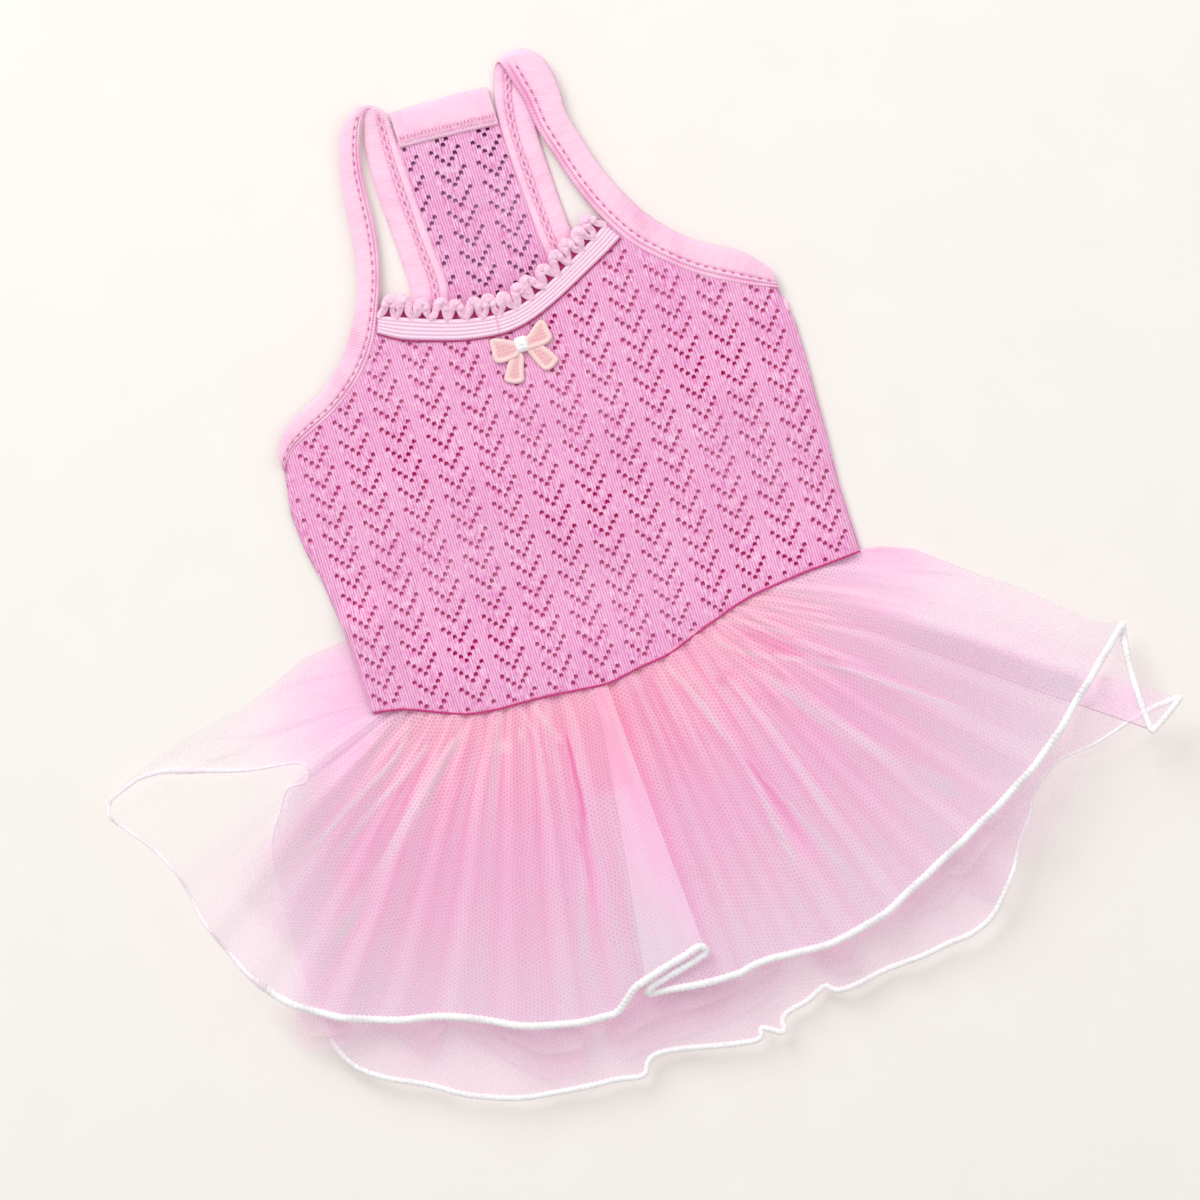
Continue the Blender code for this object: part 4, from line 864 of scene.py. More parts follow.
def tulle_ring(ring, name, material):
    """A ring of columns as one piece of net: each its points, facet, and shades."""
    grid = np.stack([column[0] for column in ring], axis=1)
    rows, count = grid.shape[:2]
    faces = grid_faces(rows, count, ring=True)
    points = grid.reshape(-1, 3)
    facets = np.array([column[1] for column in ring])
    down = points[faces[:, 3]] - points[faces[:, 0]]
    turns = np.arctan2(down[:, 1], down[:, 0]) + math.pi / 2
    turns = np.where(turns > math.pi, turns - 2 * math.pi, turns)
    uv = planar_cloth(points, faces, facets[faces[:, 0] % count], turns)
    cover, tone, warm = (np.stack([column[2][trait] for column in ring], axis=1)
                         for trait in range(3))
    across = np.roll(grid, -1, axis=1) - np.roll(grid, 1, axis=1)
    steep = np.abs(across[..., 2]) / np.maximum(np.linalg.norm(across, axis=2), 1e-6)
    cover = cover * (1 + 0.35 * smooth(steep * 1.3))
    tone = tone - 0.12 * smooth(steep * 1.3)
    ob = add_piece(name, points, faces, material, uv,
                   {"cover": cover.ravel(), "tone": tone.ravel(), "warm": warm.ravel()})
    # Sheer net scatters light through itself, so its folds shade less than their slope
    normals = np.array([vertex.normal[:] for vertex in ob.data.vertices])
    upright = np.sign(normals[:, 2:3] + 1e-6) * (0.0, 0.0, 1.0)
    ob.data.normals_split_custom_set_from_vertices(
        unit(normals * SLOPE_SHARE + upright * (1 - SLOPE_SHARE)).tolist())
    return ob


def back_path():
    """The outer tier's back, from its right edge to its left: line, share to the hem, lift."""
    rest = [(line, scale, 0.0) for line, scale in BACK_HEM[::-1] if line < RIGHT_FOLDS[-1][0]]
    path = rounded(np.array(RIGHT_FOLDS + tuple(rest)), 4)
    along = distances(plan(path[:, 0], path[:, 1]))
    return read(path, along, np.linspace(0.0, along[-1], int(along[-1] / BACK_STEP)))


def outer_tulle():
    """The outer tier: one gathered tube of tulle, laid flat, with its left wing folded."""
    rows = SKIRT_ROWS
    ring, marks = [], []

    def add_front(place, reach, lift, facet, under=False):
        points = layer_point(OUTER_FRONT, place, reach, lift)
        cover, tone, warm = shades(place, reach)
        if not under:
            raised, deeper, denser = creases(points[:, 0], points[:, 1])
            points[:, 2] += raised * smooth((reach - 0.01) / 0.08)
            streak = np.sin(2 * np.pi * place / 0.9 + 2 * np.sin(place * 1.3))
            cover = cover * (1 + denser)
            tone = tone + deeper + 0.02 * streak - 0.08 * gathers(place, reach, 0.4)
        ring.append((points, facet, (cover, tone, warm)))
        marks.append(place[-1])

    def add_gathered(first, last):
        for line in np.arange(first, last, SKIRT_STEP):
            lift = gathers(line, rows, 0.4) * fullness(line)
            add_front(drifted(line, rows), rows, lift, int(line / 1.37))

    def add_turn(line, facet, outward):
        for points in fold_turn(line, OUTER_FRONT, OUTER_BACK, rows, 1.0, outward):
            ring.append((points, facet, shades(np.full_like(rows, line), rows)))
            marks.append(line)

    add_gathered(FIRST_COLUMN, FOLD_OVER[2][1] - 0.1)
    for place, reach, lift, part in pleat_over_columns():
        facet = 100 + [row[0] for row in FOLD_OVER_PARTS].index(part)
        add_front(place, reach, lift, facet, part not in ("rise", "top"))
    add_gathered(FOLD_OVER_END + 0.1, LAST_COLUMN)
    add_turn(FAN_END, 200, -1)
    flat = np.where(rows > 0.02, rows, np.interp(rows, (rows[0], 0.02), (-0.004, 0.02)))
    for line, scale, raised in back_path():
        if not FIRST_COLUMN < line < LAST_COLUMN:
            continue
        place = np.full_like(rows, line)
        lift = 0.35 * gathers(line, flat, 2.1) * fullness(line) + raised * rows
        cover, tone, warm = shades(place, rows * scale)
        folded = 1 + 0.9 * smooth((3.4 - line) / 1.2)  # the wing's fold lies over its back
        ring.append((layer_point(OUTER_BACK, place, flat * scale, lift), 201 + int(line / 2.2),
                     (cover * folded, tone, warm)))
        marks.append(-line)
    add_turn(0.0, 220, 1)
    ob = tulle_ring(ring, "outer_tulle", OUTER_TULLE)
    ob.visible_shadow = False
    return ob, np.array([column[0][-1] for column in ring]), np.array(marks)


def inner_net():
    """The plain net tube inside the outer tier, cut raw at its lower edge."""
    first, last = NET_HEM[0][0], NET_HEM[-1][0]
    rows = np.concatenate(((0.0, 0.03, 0.07, 0.12), np.arange(0.2, 1.001, 0.08)))
    lines = np.arange(first + NET_STEP, last - 0.1, NET_STEP)
    ring = []

    def add(line, layer, scale, facet, seed):
        near = 1 - smooth(rows / 0.5)
        side = smooth((line - first) / 3.2) * smooth((last - line) / 4.5)
        low = smooth((rows - 0.5) / 0.5)
        streak = 0.5 + 0.5 * np.sin(line * 5.1 + seed + 1.3 * np.sin(line * 1.7))
        cover = (0.5 + 0.25 * near - (0.14 + 0.12 * streak) * low) * (0.3 + 0.7 * side)
        tone = 0.5 + 0.15 * near - 0.42 * low + 0.1 * side + 0.12 * streak * low
        points = layer_point(layer, np.full_like(rows, line), rows * scale,
                             0.5 * gathers(line, rows, seed))
        ring.append((points, facet, (cover, tone, 0.75 * near * side)))

    def add_turn(line, facet, outward):
        scale = at(NET_HEM, line, 2)
        for points in fold_turn(line, NET_FRONT, NET_BACK, rows, scale, outward, 4):
            ring.append((points, facet, (0.2 + 0 * rows, 0.3 + 0 * rows, 0 * rows)))

    for line in lines:
        add(line, NET_FRONT, at(NET_HEM, line, 2), int(line / 1.7), 1.0)
    add_turn(last, 20, -1)
    for line in lines[::-1]:
        add(line, NET_BACK, at(NET_HEM, line, 1), 21 + int(line / 2.1), 3.0)
    add_turn(first, 40, 1)
    return tulle_ring(ring, "inner_net", INNER_NET)


def overlocked(line, width, name, material):
    """Overlock stitches round an edge: a cord with slanted ridges."""
    line, along = respaced(line, 0.45)
    width = np.interp(along / along[-1], np.linspace(0, 1, len(width)), width)
    points, faces = tube(line, width, width * 0.72, 8, along * 2 * np.pi / 1.9, 0.09, -1)
    return add_piece(name, points, faces, material)


def hem_cords(hem, marks):
    """The outer tier's hem: white overlock in front and behind, sheer on the left wing."""
    count = len(hem)
    back = np.flatnonzero(marks < 0)
    begin = np.flatnonzero(marks[:back[0]] >= SHEER_TO)[0]
    turn = back[np.flatnonzero(marks[back] > -6.3)[0]]
    white = np.arange(begin, turn)
    behind = np.interp(-marks[white], (17.0, 19.2), (2.1, 0.9))
    behind = np.where(white < back[0] + RIGHT_FOLD_COLUMNS, HEM_CORD[1], behind)
    wide = np.where(white < back[0], HEM_CORD[0], behind)
    wide = np.convolve(np.pad(wide, 4, mode="edge"), np.ones(9) / 9, mode="valid")
    sheer = np.concatenate((np.arange(turn - 1, count), np.arange(0, begin + 1)))
    # Hidden between the layers from line 6 to line 4 of the back
    line = np.abs(marks[sheer])
    fine = np.interp(line, (0.0, 0.5, 1.3), (2.4, 1.7, 1.1))
    fine = np.where(marks[sheer] < -3.35,
                    np.interp(line, (3.35, 3.9, 5.6, 6.3), (1.1, 0.3, 0.3, 2.1)), fine)
    fine[-24:] = np.linspace(1.1, 2.5, 24)
    pieces = [overlocked(hem[white], wide, "hem_overlock", HEM_THREAD),
              overlocked(hem[sheer], fine, "wing_overlock", FAINT_THREAD)]
    pieces[1].visible_shadow = False
    return pieces


# ---------------------------------------------------------------- bodice

def waist_y(x):
    """The waist seam's height on the garment, along the fan's upper ends."""
    seam = np.asarray(FAN)[2:]
    return np.interp(x, seam[:, 0], seam[:, 1])


def corner_lift(x, y):
    """How far the skirt's wing lifts the bodice's lower left corner."""
    return LIFT * smooth((-64.0 - x) / 10.0) * smooth((12.0 - y) / 11.0)


def front_z(x, y):
    """Underside of the front panel's room: on the back binding, down at the side seams."""
    lifted = corner_lift(x, y) / LIFT
    side = smooth(np.minimum(x + 88.0, 94.5 - x) / 9.0)
    held = smooth((y - 40.0) / 12.0)
    over_side = (FRONT_Z - SIDE_Z) * np.maximum(side, held)
    puff = WAIST_PUFF * smooth((-4.0 - y) / 26.0) * side
    swell = 0.3 * (1 + np.sin(x / 17.0 + y / 11.0)) * smooth((56.0 - y) / 16.0) * side
    clear = CORNER_GAP * np.sin(np.pi * np.minimum(1.0, 2 * lifted) / 2)
    return SIDE_Z + corner_lift(x, y) + clear + (over_side + puff) * (1 - lifted) + swell


V_PITCH = (14.55, 7.1)
V_COLUMNS = (-5.425, -3.875, -2.325, -0.775, 0.775, 2.325, 3.875, 5.425, 6.65, 7.9)
V_ROWS = (-0.78, 0.78, 1.0, 2.56, 2.78, 4.34, 4.56, 6.12)
V_FIRST = (-75.0, 50.6)
ROW_BEND = ((-80, 0.2), (-31, 0.9), (-16, 0.7), (-2, 0.2), (12, -0.7), (26, -1.4), (41, -1.4),
            (55, -1.0), (90, -0.4))
V_EYELETS = {0: (3,), 2: (2, 4), 4: (1, 5), 6: (0, 6)}  # the repeat's rows, columns in each
EYELET_IN = (2.0, 1.4)  # how far inside the panel an eyelet's middle is, across and up
# An eyelet pulled to a peak by the loop above it, in shares of its cell
EYELET_RIM = ((0.04, 0.06), (0.5, 0.3), (0.96, 0.06), (0.95, 0.62), (0.5, 0.98), (0.05, 0.62))
EYELET_DEPTH = 0.25
EYELET_FACES = (
    # a cell's corners are 0 to 3, its rim 4 to 9 and its floor 10 to 15
    (0, 1, 6, 5, 4), (1, 2, 7, 6), (2, 8, 7), (2, 3, 8), (3, 9, 8), (3, 0, 4, 9),
    (4, 5, 11, 10), (5, 6, 12, 11), (6, 7, 13, 12), (7, 8, 14, 13), (8, 9, 15, 14), (9, 4, 10, 15),
    (10, 11, 14, 15), (11, 12, 13, 14),
)
LEAST_CELL = 0.04  # mm2 in plan: a cell pressed flatter against the panel's edge is left out


def from_v(x):
    """How far a place of the flat knit lies from the middle of its column of V's."""
    half = V_PITCH[0] / 2
    return np.abs((x - V_FIRST[0] + half) % V_PITCH[0] - half)


def pointelle(name, y_range, surface, material, limits):
    """A knit panel with columns of small V's, each of seven eyelets."""
    fields = []
    for axis, (first, last), lines in ((0, PANEL_X, V_COLUMNS), (1, y_range, V_ROWS)):
        start, pitch = V_FIRST[axis], V_PITCH[axis]
        repeats = range(int((first - start) / pitch) - 2, int((last - start) / pitch) + 3)
        fields.append([(start + pitch * repeat + line, number)
                       for repeat in repeats for number, line in enumerate(lines)])
    columns, rows = fields
    x, y = np.meshgrid([place for place, _ in columns], [place for place, _ in rows])
    y = y + at(ROW_BEND, x)
    flat = np.stack((x, y), -1).reshape(-1, 2)
    x = np.clip(x, *limits(x, y)[:2])
    y = np.clip(y, *limits(x, y)[2:])
    z = surface(x, y) + KNIT_THICK / 2 + 0.14 * smooth((from_v(x) - 4.6) / 1.4)
    points = np.stack((x, y, z), -1).reshape(-1, 3)
    quads = grid_faces(len(rows), len(columns))
    x, y, _ = points[quads].mean(axis=1).T
    left, right, bottom, top = limits(x, y)
    eyed = np.ravel([[column in V_EYELETS.get(row, ()) for _, column in columns[:-1]]
                     for _, row in rows[:-1]])
    eyed &= (x - left > EYELET_IN[0]) & (right - x > EYELET_IN[0])
    eyed &= (y - bottom > EYELET_IN[1]) & (top - y > EYELET_IN[1])
    eyelets, plain = quads[eyed], quads[~eyed]
    first, second, third, fourth = points[plain][..., :2].transpose(1, 0, 2)
    (run_x, run_y), (side_x, side_y) = (third - first).T, (fourth - second).T
    plain = plain[np.abs(run_x * side_y - run_y * side_x) > 2 * LEAST_CELL]

    rng = np.random.default_rng(3)
    count = len(eyelets)
    place = np.array(EYELET_RIM)[None] * np.ones((count, 1, 1))
    place = place + rng.uniform(-0.08, 0.08, place.shape)
    place = 0.5 + (place - 0.5) * rng.uniform(0.98, 1.08, (count, 1, 1))
    place = np.clip(place, 0.01, 0.99)
    u, v = place[..., :1], place[..., 1:]
    both = np.concatenate((points, flat), axis=1)[eyelets]
    rim = ((1 - u) * (1 - v) * both[:, :1] + u * (1 - v) * both[:, 1:2]
           + u * v * both[:, 2:3] + (1 - u) * v * both[:, 3:])
    centre = rim.mean(axis=1, keepdims=True)
    floor = centre + (rim - centre) * 0.96 - np.array((0, 0, EYELET_DEPTH, 0, 0))
    start = len(points)
    added = np.concatenate((rim, floor), axis=1).reshape(-1, 5)
    points, flat = np.vstack((points, added[:, :3])), np.vstack((flat, added[:, 3:]))
    # Painted shade in the eyelets: full on their floors, less on their rims, deeper in some parts
    # of the panel
    dark = 0.86 + 0.14 * np.sin(centre[:, 0, 0] / 17.0 + 1.0) * np.sin(centre[:, 0, 1] / 11.0)
    rim_to_floor = np.array([0.8] * 6 + [1.0] * 6)
    shade = np.concatenate((np.zeros(start), (rim_to_floor * dark[:, None]).ravel()))
    cells = np.concatenate((eyelets, start + np.arange(12 * count).reshape(-1, 12)), axis=1)
    faces = plain.tolist()
    for face in EYELET_FACES:
        faces += cells[:, face].tolist()
    used = np.unique(np.concatenate([np.ravel(plain), np.ravel(cells)]))
    renumbered = np.zeros(len(points), dtype=int)
    renumbered[used] = np.arange(len(used))
    faces = [renumbered[face].tolist() for face in faces]
    uv = flat[used]
    traits = {"eyelet": shade[used], "lace": 1.0 - smooth((from_v(uv[:, 0]) - 5.2) / 0.9)}
    return thickened(add_piece(name, points[used], faces, material, uv, traits), KNIT_THICK)


def front_knit():
    """The front panel, from the gathered waist to the armholes and the neck."""
    top_x, top_y = rounded(FRONT_TOP, 3).T

    def limits(x, y):
        share = smooth((y - LEFT_SEAM_Y[0]) / (LEFT_SEAM_Y[1] - LEFT_SEAM_Y[0]))
        left = LEFT_SEAM_X[0] + (LEFT_SEAM_X[1] - LEFT_SEAM_X[0]) * share + at(SIDE_BOW, y, 1)
        right = np.interp(y, RIGHT_SEAM_Y, RIGHT_SEAM_X) + at(SIDE_BOW, y, 2)
        top = np.interp(x, top_x, top_y) + SEAM_UNDER[1]
        return left, right, waist_y(x) - SEAM_UNDER[0], top

    def surface(x, y):
        left, right, _, _ = limits(x, y)
        roll = 1 - smooth(np.minimum(x - left, right - x) / 3.2)
        seam = np.maximum(0.0, 1 - (y - waist_y(x)) / 3.5)
        pinch = 0.22 * np.sin(x * 1.9 + np.sin(x * 0.53) * 2) * seam
        wrinkle = 0.18 * np.sin(x / 7.3 + y / 23.0) * np.sin(y / 13.0 + 1)
        mid = front_z(x, y) + 0.85
        low = corner_lift(x, y) + 1.25
        return mid + (low - mid) * roll + pinch + wrinkle * (1 - roll)

    return pointelle("front_bodice_knit", (-42, 106), surface, FRONT_KNIT, limits)


def back_knit():
    """The back panel, up to the narrow back between the armholes."""
    def limits(x, y):
        bound = TUCK * smooth((y - 54.0) / 4.0)
        left, right = at(BACK_SIDES, y, 1) - bound, at(BACK_SIDES, y, 2) + bound
        share = np.clip((x + 17.0) / 35.0, 0, 1)
        top = BACK_TOP + BACK_TOP_SLANT * (1 - 2 * share)
        return left, right, waist_y(x) + SEAM_GAP, top + 0 * y

    def surface(x, y):
        return corner_lift(x, y) + 0.62

    return pointelle("back_bodice_knit", (-42, 157), surface, BACK_KNIT, limits)


def strap_stations(front, over, back):
    """A strap's edges with the height of its middle."""
    return ([(*row, FRONT_BINDING_Z) for row in front] + list(over)
            + [(*row, BACK_BINDING_Z) for row in back])


def binding(name, stations, steps, profiles, flip, fold=0, arch=0.0):
    """A folded binding swept along its edge, with a profile for each of its two faces."""
    stations = rounded(stations, steps)
    along = distances(np.column_stack(((stations[:, :2] + stations[:, 2:4]) / 2, stations[:, 4])))
    fine = np.linspace(0, along[-1], int(along[-1] / BINDING_STEP) + 1)
    stations = read(stations, along, fine)
    outer, inner, z = stations[:, :2], stations[:, 2:4], stations[:, 4]
    centre = np.column_stack(((outer + inner) / 2, z))
    width = np.linalg.norm(outer - inner, axis=1)
    across = np.column_stack(((outer - inner) / width[:, None], 0 * z))
    up = unit(np.cross(across, np.gradient(centre, axis=0))) * (-1.0 if flip else 1.0)
    up = np.pad(up, ((2, 2), (0, 0)), mode="edge")
    up = unit(sum(up[k:k + len(fine)] for k in range(5)))
    # Over the shoulder the strap is smooth and round, its middle higher than its edges
    near = np.exp(-((fine - along[fold * steps]) / SHOULDER) ** 2)[:, None] * (fold > 0)
    sides, places, marks, shares = [], [], [], []
    for profile, sign in ((np.array(profiles[0]), 1.0), (np.array(profiles[1])[::-1], -1.0)):
        place, top, groove_shade = profile.T
        s = (place - 0.5) * width[:, None]
        run = fine[:, None]
        pucker = 0.11 * np.sin(run * 1.25 + 3 * place) * np.sin(run * 0.37 + 5 * place)
        pucker = pucker + 0.08 * np.sin(run * 2.9 + 7 * np.sin(place * 4)) * (place > 0.4)
        rise = top * BINDING / 2 + pucker * (top > 0.8)
        rise = rise + (0.45 * BINDING * (1 - (2 * place - 1) ** 4) - rise) * near
        sides.append(centre[:, None] + across[:, None] * s[..., None]
                     + up[:, None] * (sign * rise)[..., None])
        places.append(s if sign > 0 else s + 30)
        # Painted shade along the profile's dips, left off over the shoulder
        marks.append(groove_shade * (1 - near))
        shares.append(place)
    ring = np.concatenate(sides, axis=1)
    rows, count = ring.shape[:2]
    lifted = arch * near * (1 - np.abs(2 * np.concatenate(shares) - 1) ** 3)
    ring = ring + lifted[..., None] * np.array((math.sin(VIEW_TILT), math.cos(VIEW_TILT), 0.0))
    ring[..., 2] = np.maximum(ring[..., 2], 0.05)
    u, v = np.concatenate(places, axis=1), np.repeat(fine[:, None], count, axis=1)
    ob = add_piece(name, ring.reshape(-1, 3), closed_faces(rows, count), BINDING_JERSEY,
                   np.stack((u, v), -1).reshape(-1, 2),
                   {"groove_shade": np.concatenate(marks, axis=1).ravel()})
    return ob, (fine, centre, across, up, width, along[::steps])


STRAP_OUTSIDE = (
    # share from the inner edge to the outer, height, painted shade: at a fold's edge, at a stitched
    # rim
    (0.0, 0.0, 0.3), (0.02, 0.45, 0.3), (0.07, 0.6, 0.25), (0.125, 0.5, 0.35), (0.15, 0.25, 0.75),
    (0.18, 0.7, 0.2), (0.23, 0.95, 0.0), (0.28, 0.85, 0.15), (0.305, 0.6, 0.4),
    (0.33, 0.85, 0.15), (0.42, 1.02, 0.0), (0.6, 1.12, 0.0), (0.78, 1.1, 0.0),
    (0.9, 0.95, 0.0), (0.97, 0.6, 0.0), (1.0, 0.0, 0.1),
)
STRAP_INSIDE = (
    (0.0, 0.0, 0.2), (0.02, 0.6, 0.1), (0.07, 0.85, 0.0), (0.125, 0.97, 0.0), (0.16, 1.0, 0.0),
    (0.2, 0.95, 0.1), (0.24, 0.75, 0.4), (0.29, 0.68, 0.6), (0.34, 0.68, 0.6), (0.39, 0.68, 0.6),
    (0.44, 0.76, 0.4), (0.49, 1.0, 0.1), (0.6, 1.12, 0.0), (0.78, 1.12, 0.0),
    (0.9, 0.95, 0.0), (0.97, 0.6, 0.0), (1.0, 0.0, 0.1),
)
BAND_PROFILE = (
    (0.0, 0.0, 0.1), (0.02, 0.6, 0.05), (0.08, 0.95, 0.0), (0.16, 0.95, 0.1), (0.22, 0.8, 0.25),
    (0.3, 0.95, 0.1), (0.42, 1.05, 0.0), (0.6, 1.08, 0.0), (0.8, 1.02, 0.0),
    (0.93, 0.8, 0.0), (0.98, 0.45, 0.0), (1.0, 0.0, 0.1),
)
STITCH_PITCH, STITCH_LENGTH, STITCH_SHARE = 3.1, 1.1, 0.3  # coverstitch on a strap's front
CHAIN_PITCH, CHAIN_SHARE = 3.3, 0.34
ZIGZAG_PITCH = 2.5


def on_binding(run, places, share, lift, sideways=0.0):
    """A line on a binding, at a share of its width and a height over its middle."""
    fine, centre, across, up, width, _ = run
    middle, side, over = (read(table, fine, places) for table in (centre, across, up))
    out = (share - 0.5) * np.interp(places, fine, width) + sideways
    return middle + side * out[:, None] + over * np.broadcast_to(lift, out.shape)[:, None]


def stitches(run, first, last, name):
    """Short straight stitches along the front of a strap, in the dip of its face."""
    parts = []
    for place in np.arange(first, last - STITCH_LENGTH, STITCH_PITCH):
        span = np.linspace(place, place + STITCH_LENGTH, 4)
        lift = -0.78 * (1 + 0.15 * np.sin(np.linspace(0, np.pi, 4)))
        parts.append(tube(on_binding(run, span, STITCH_SHARE, lift), 0.7, 0.42, 6))
    return add_piece(name, *joined(parts), STITCH_THREAD)


def chain(run, first, last, name):
    """A chain of looped stitches along the back of a strap."""
    turn = np.linspace(0, 1, 6)
    bulge = 0.85 * np.sin(np.pi * turn) ** 0.8
    parts = []
    for place in np.arange(first, last - CHAIN_PITCH, CHAIN_PITCH):
        span = place + CHAIN_PITCH * 1.15 * turn
        for hand in (-1, 1):
            line = on_binding(run, span, CHAIN_SHARE, 0.9, hand * bulge)
            parts.append(tube(line, 1.1, 0.5, 8))
    return add_piece(name, *joined(parts), CHAIN_THREAD)


def zigzag(run, first, last, name):
    """Two crossing zigzags of looper thread along the neck band's lower edge."""
    span = np.arange(first, last, ZIGZAG_PITCH / 10)
    parts = []
    for shift, lift in ((0.0, 0.95), (0.5, 1.03)):
        swing = smooth(2 * np.abs((span / ZIGZAG_PITCH + shift) % 1.0 - 0.5))
        parts.append(tube(on_binding(run, span, 0.12 + 0.2 * swing, lift), 0.62, 0.34, 6))
    return add_piece(name, *joined(parts), CHAIN_THREAD)


PICOT_LOOP = (
    # a loop of yarn: along the pitch, share of the height, rise of the yarn, its width
    (0.04, -0.10, 0.3, 1.6), (0.12, 0.10, 0.7, 2.0), (0.22, 0.30, 1.1, 2.4), (0.27, 0.54, 1.5, 2.8),
    (0.33, 0.76, 1.6, 3.1), (0.52, 0.88, 1.8, 3.2), (0.70, 0.76, 1.5, 3.1), (0.76, 0.54, 1.3, 2.8),
    (0.79, 0.30, 1.0, 2.4), (0.88, 0.10, 0.6, 2.0), (0.96, -0.10, 0.3, 1.6),
)
PICOT_PUFFS = (
    # along the pitch, share of the height, rise
    (0.3, 0.6, 1.9), (0.53, 0.84, 2.2), (0.76, 0.6, 1.8),
)


def elastic_band():
    """Picot elastic: a ribbed band with soft loops of thick yarn above it."""
    band = rounded(ELASTIC_BAND, 3)
    along = distances(band[:, 2:])
    fine = np.linspace(0, along[-1], 190)
    band = read(band, along, fine)
    low, high = band[:, :2], band[:, 2:]
    shares = np.linspace(0, 1, 31)
    rise = 0.5 + 0.12 * np.abs(np.sin(np.pi * ELASTIC_CORDS * shares)) ** 0.7
    rise = rise * np.minimum(1, np.minimum(shares, 1 - shares) / 0.05) ** 0.5
    upper = low[:, None] + (high - low)[:, None] * shares[None, :, None]
    z = np.broadcast_to(FRONT_TOP_Z + 0.3 + rise, upper.shape[:2])
    top = np.concatenate((upper, z[..., None]), -1)
    bottom = top[:, ::-1].copy()
    bottom[..., 2] = FRONT_TOP_Z + 0.15
    ring = np.concatenate((top, bottom), axis=1)
    v = np.concatenate((shares, shares[::-1])) * ELASTIC_WIDTH
    uv = np.stack(np.broadcast_arrays(fine[:, None], v[None, :]), -1).reshape(-1, 2)
    ob = add_piece("neck_elastic_band", ring.reshape(-1, 3), closed_faces(*ring.shape[:2]),
                   WOVEN_ELASTIC, uv)

    def above(place, lift):
        """Places along the band's upper edge, moved up off it."""
        slope = unit(read(high, fine, place + 0.6) - read(high, fine, place - 0.6))
        away = np.stack((-slope[:, 1], slope[:, 0]), -1)
        return read(high, fine, place) + away * np.broadcast_to(lift, place.shape)[:, None]

    pitch = along[-1] / PICOTS
    rng = np.random.default_rng(7)
    loop = rounded(PICOT_LOOP, 4)
    span = np.linspace(-1, 1, 9)
    puff = 2.9 * np.sqrt(1.02 - span ** 2)
    parts = []
    for number in range(PICOTS):
        tall = PICOT_HEIGHT * rng.uniform(0.94, 1.06)
        lean = rng.uniform(-0.14, 0.14)
        line = above((number + loop[:, 0] + lean * loop[:, 1]) * pitch, loop[:, 1] * tall)
        line = np.column_stack((line, FRONT_TOP_Z + loop[:, 2] + (0.25 if number % 2 else 0.0)))
        thick = loop[:, 3] * (1 + 0.14 * np.sin(np.linspace(0, 14, len(line)) + 2.3 * number))
        ridge = np.linspace(0, 11, len(line)) + number
        parts.append(tube(line, thick, thick * 0.72, 18, ridge, 0.2, 3))
        for side, tall_at, rise in PICOT_PUFFS:
            turn = rng.uniform(0.3, 1.3) * np.sign(0.5 - side + 0.01)
            line = above((number + side + lean * tall_at) * pitch + 1.5 * span * np.cos(turn),
                         tall_at * tall + 1.5 * span * np.sin(turn))
            line = np.column_stack((line, np.full(9, FRONT_TOP_Z + rise)))
            parts.append(tube(line, puff, puff * 0.6, 12))
    loops = add_piece("neck_elastic_picots", *joined(parts), PICOT_YARN)
    # Partly the band's seam, partly painted shade along its lower edge
    edge = np.column_stack((low - (high - low) * 0.04, np.full(len(low), FRONT_TOP_Z + 0.1)))
    # Painted shade: a dark strip under the picots' feet, for the shade between the loops
    behind = np.column_stack((above(fine, 1.4), np.full(len(low), FRONT_TOP_Z - 0.3)))
    seam = [tube(edge, 0.6, 0.5, 6), tube(behind, 3.6, 0.5, 6)]
    seam = add_piece("elastic_seam_and_shade", *joined(seam), SEAM_THREAD_AND_SHADE)
    join = np.linspace((-2.6, 83.6, FRONT_TOP_Z + 1.02), (-2.1, 89.4, FRONT_TOP_Z + 1.02), 6)
    join = add_piece("elastic_join", *tube(join, 0.4, 0.16, 6), CHAIN_THREAD)
    return ob, loops, seam, join


BOW_STEP = 0.25
BOW_RIM = 0.95  # half the width of the bow's padded rim


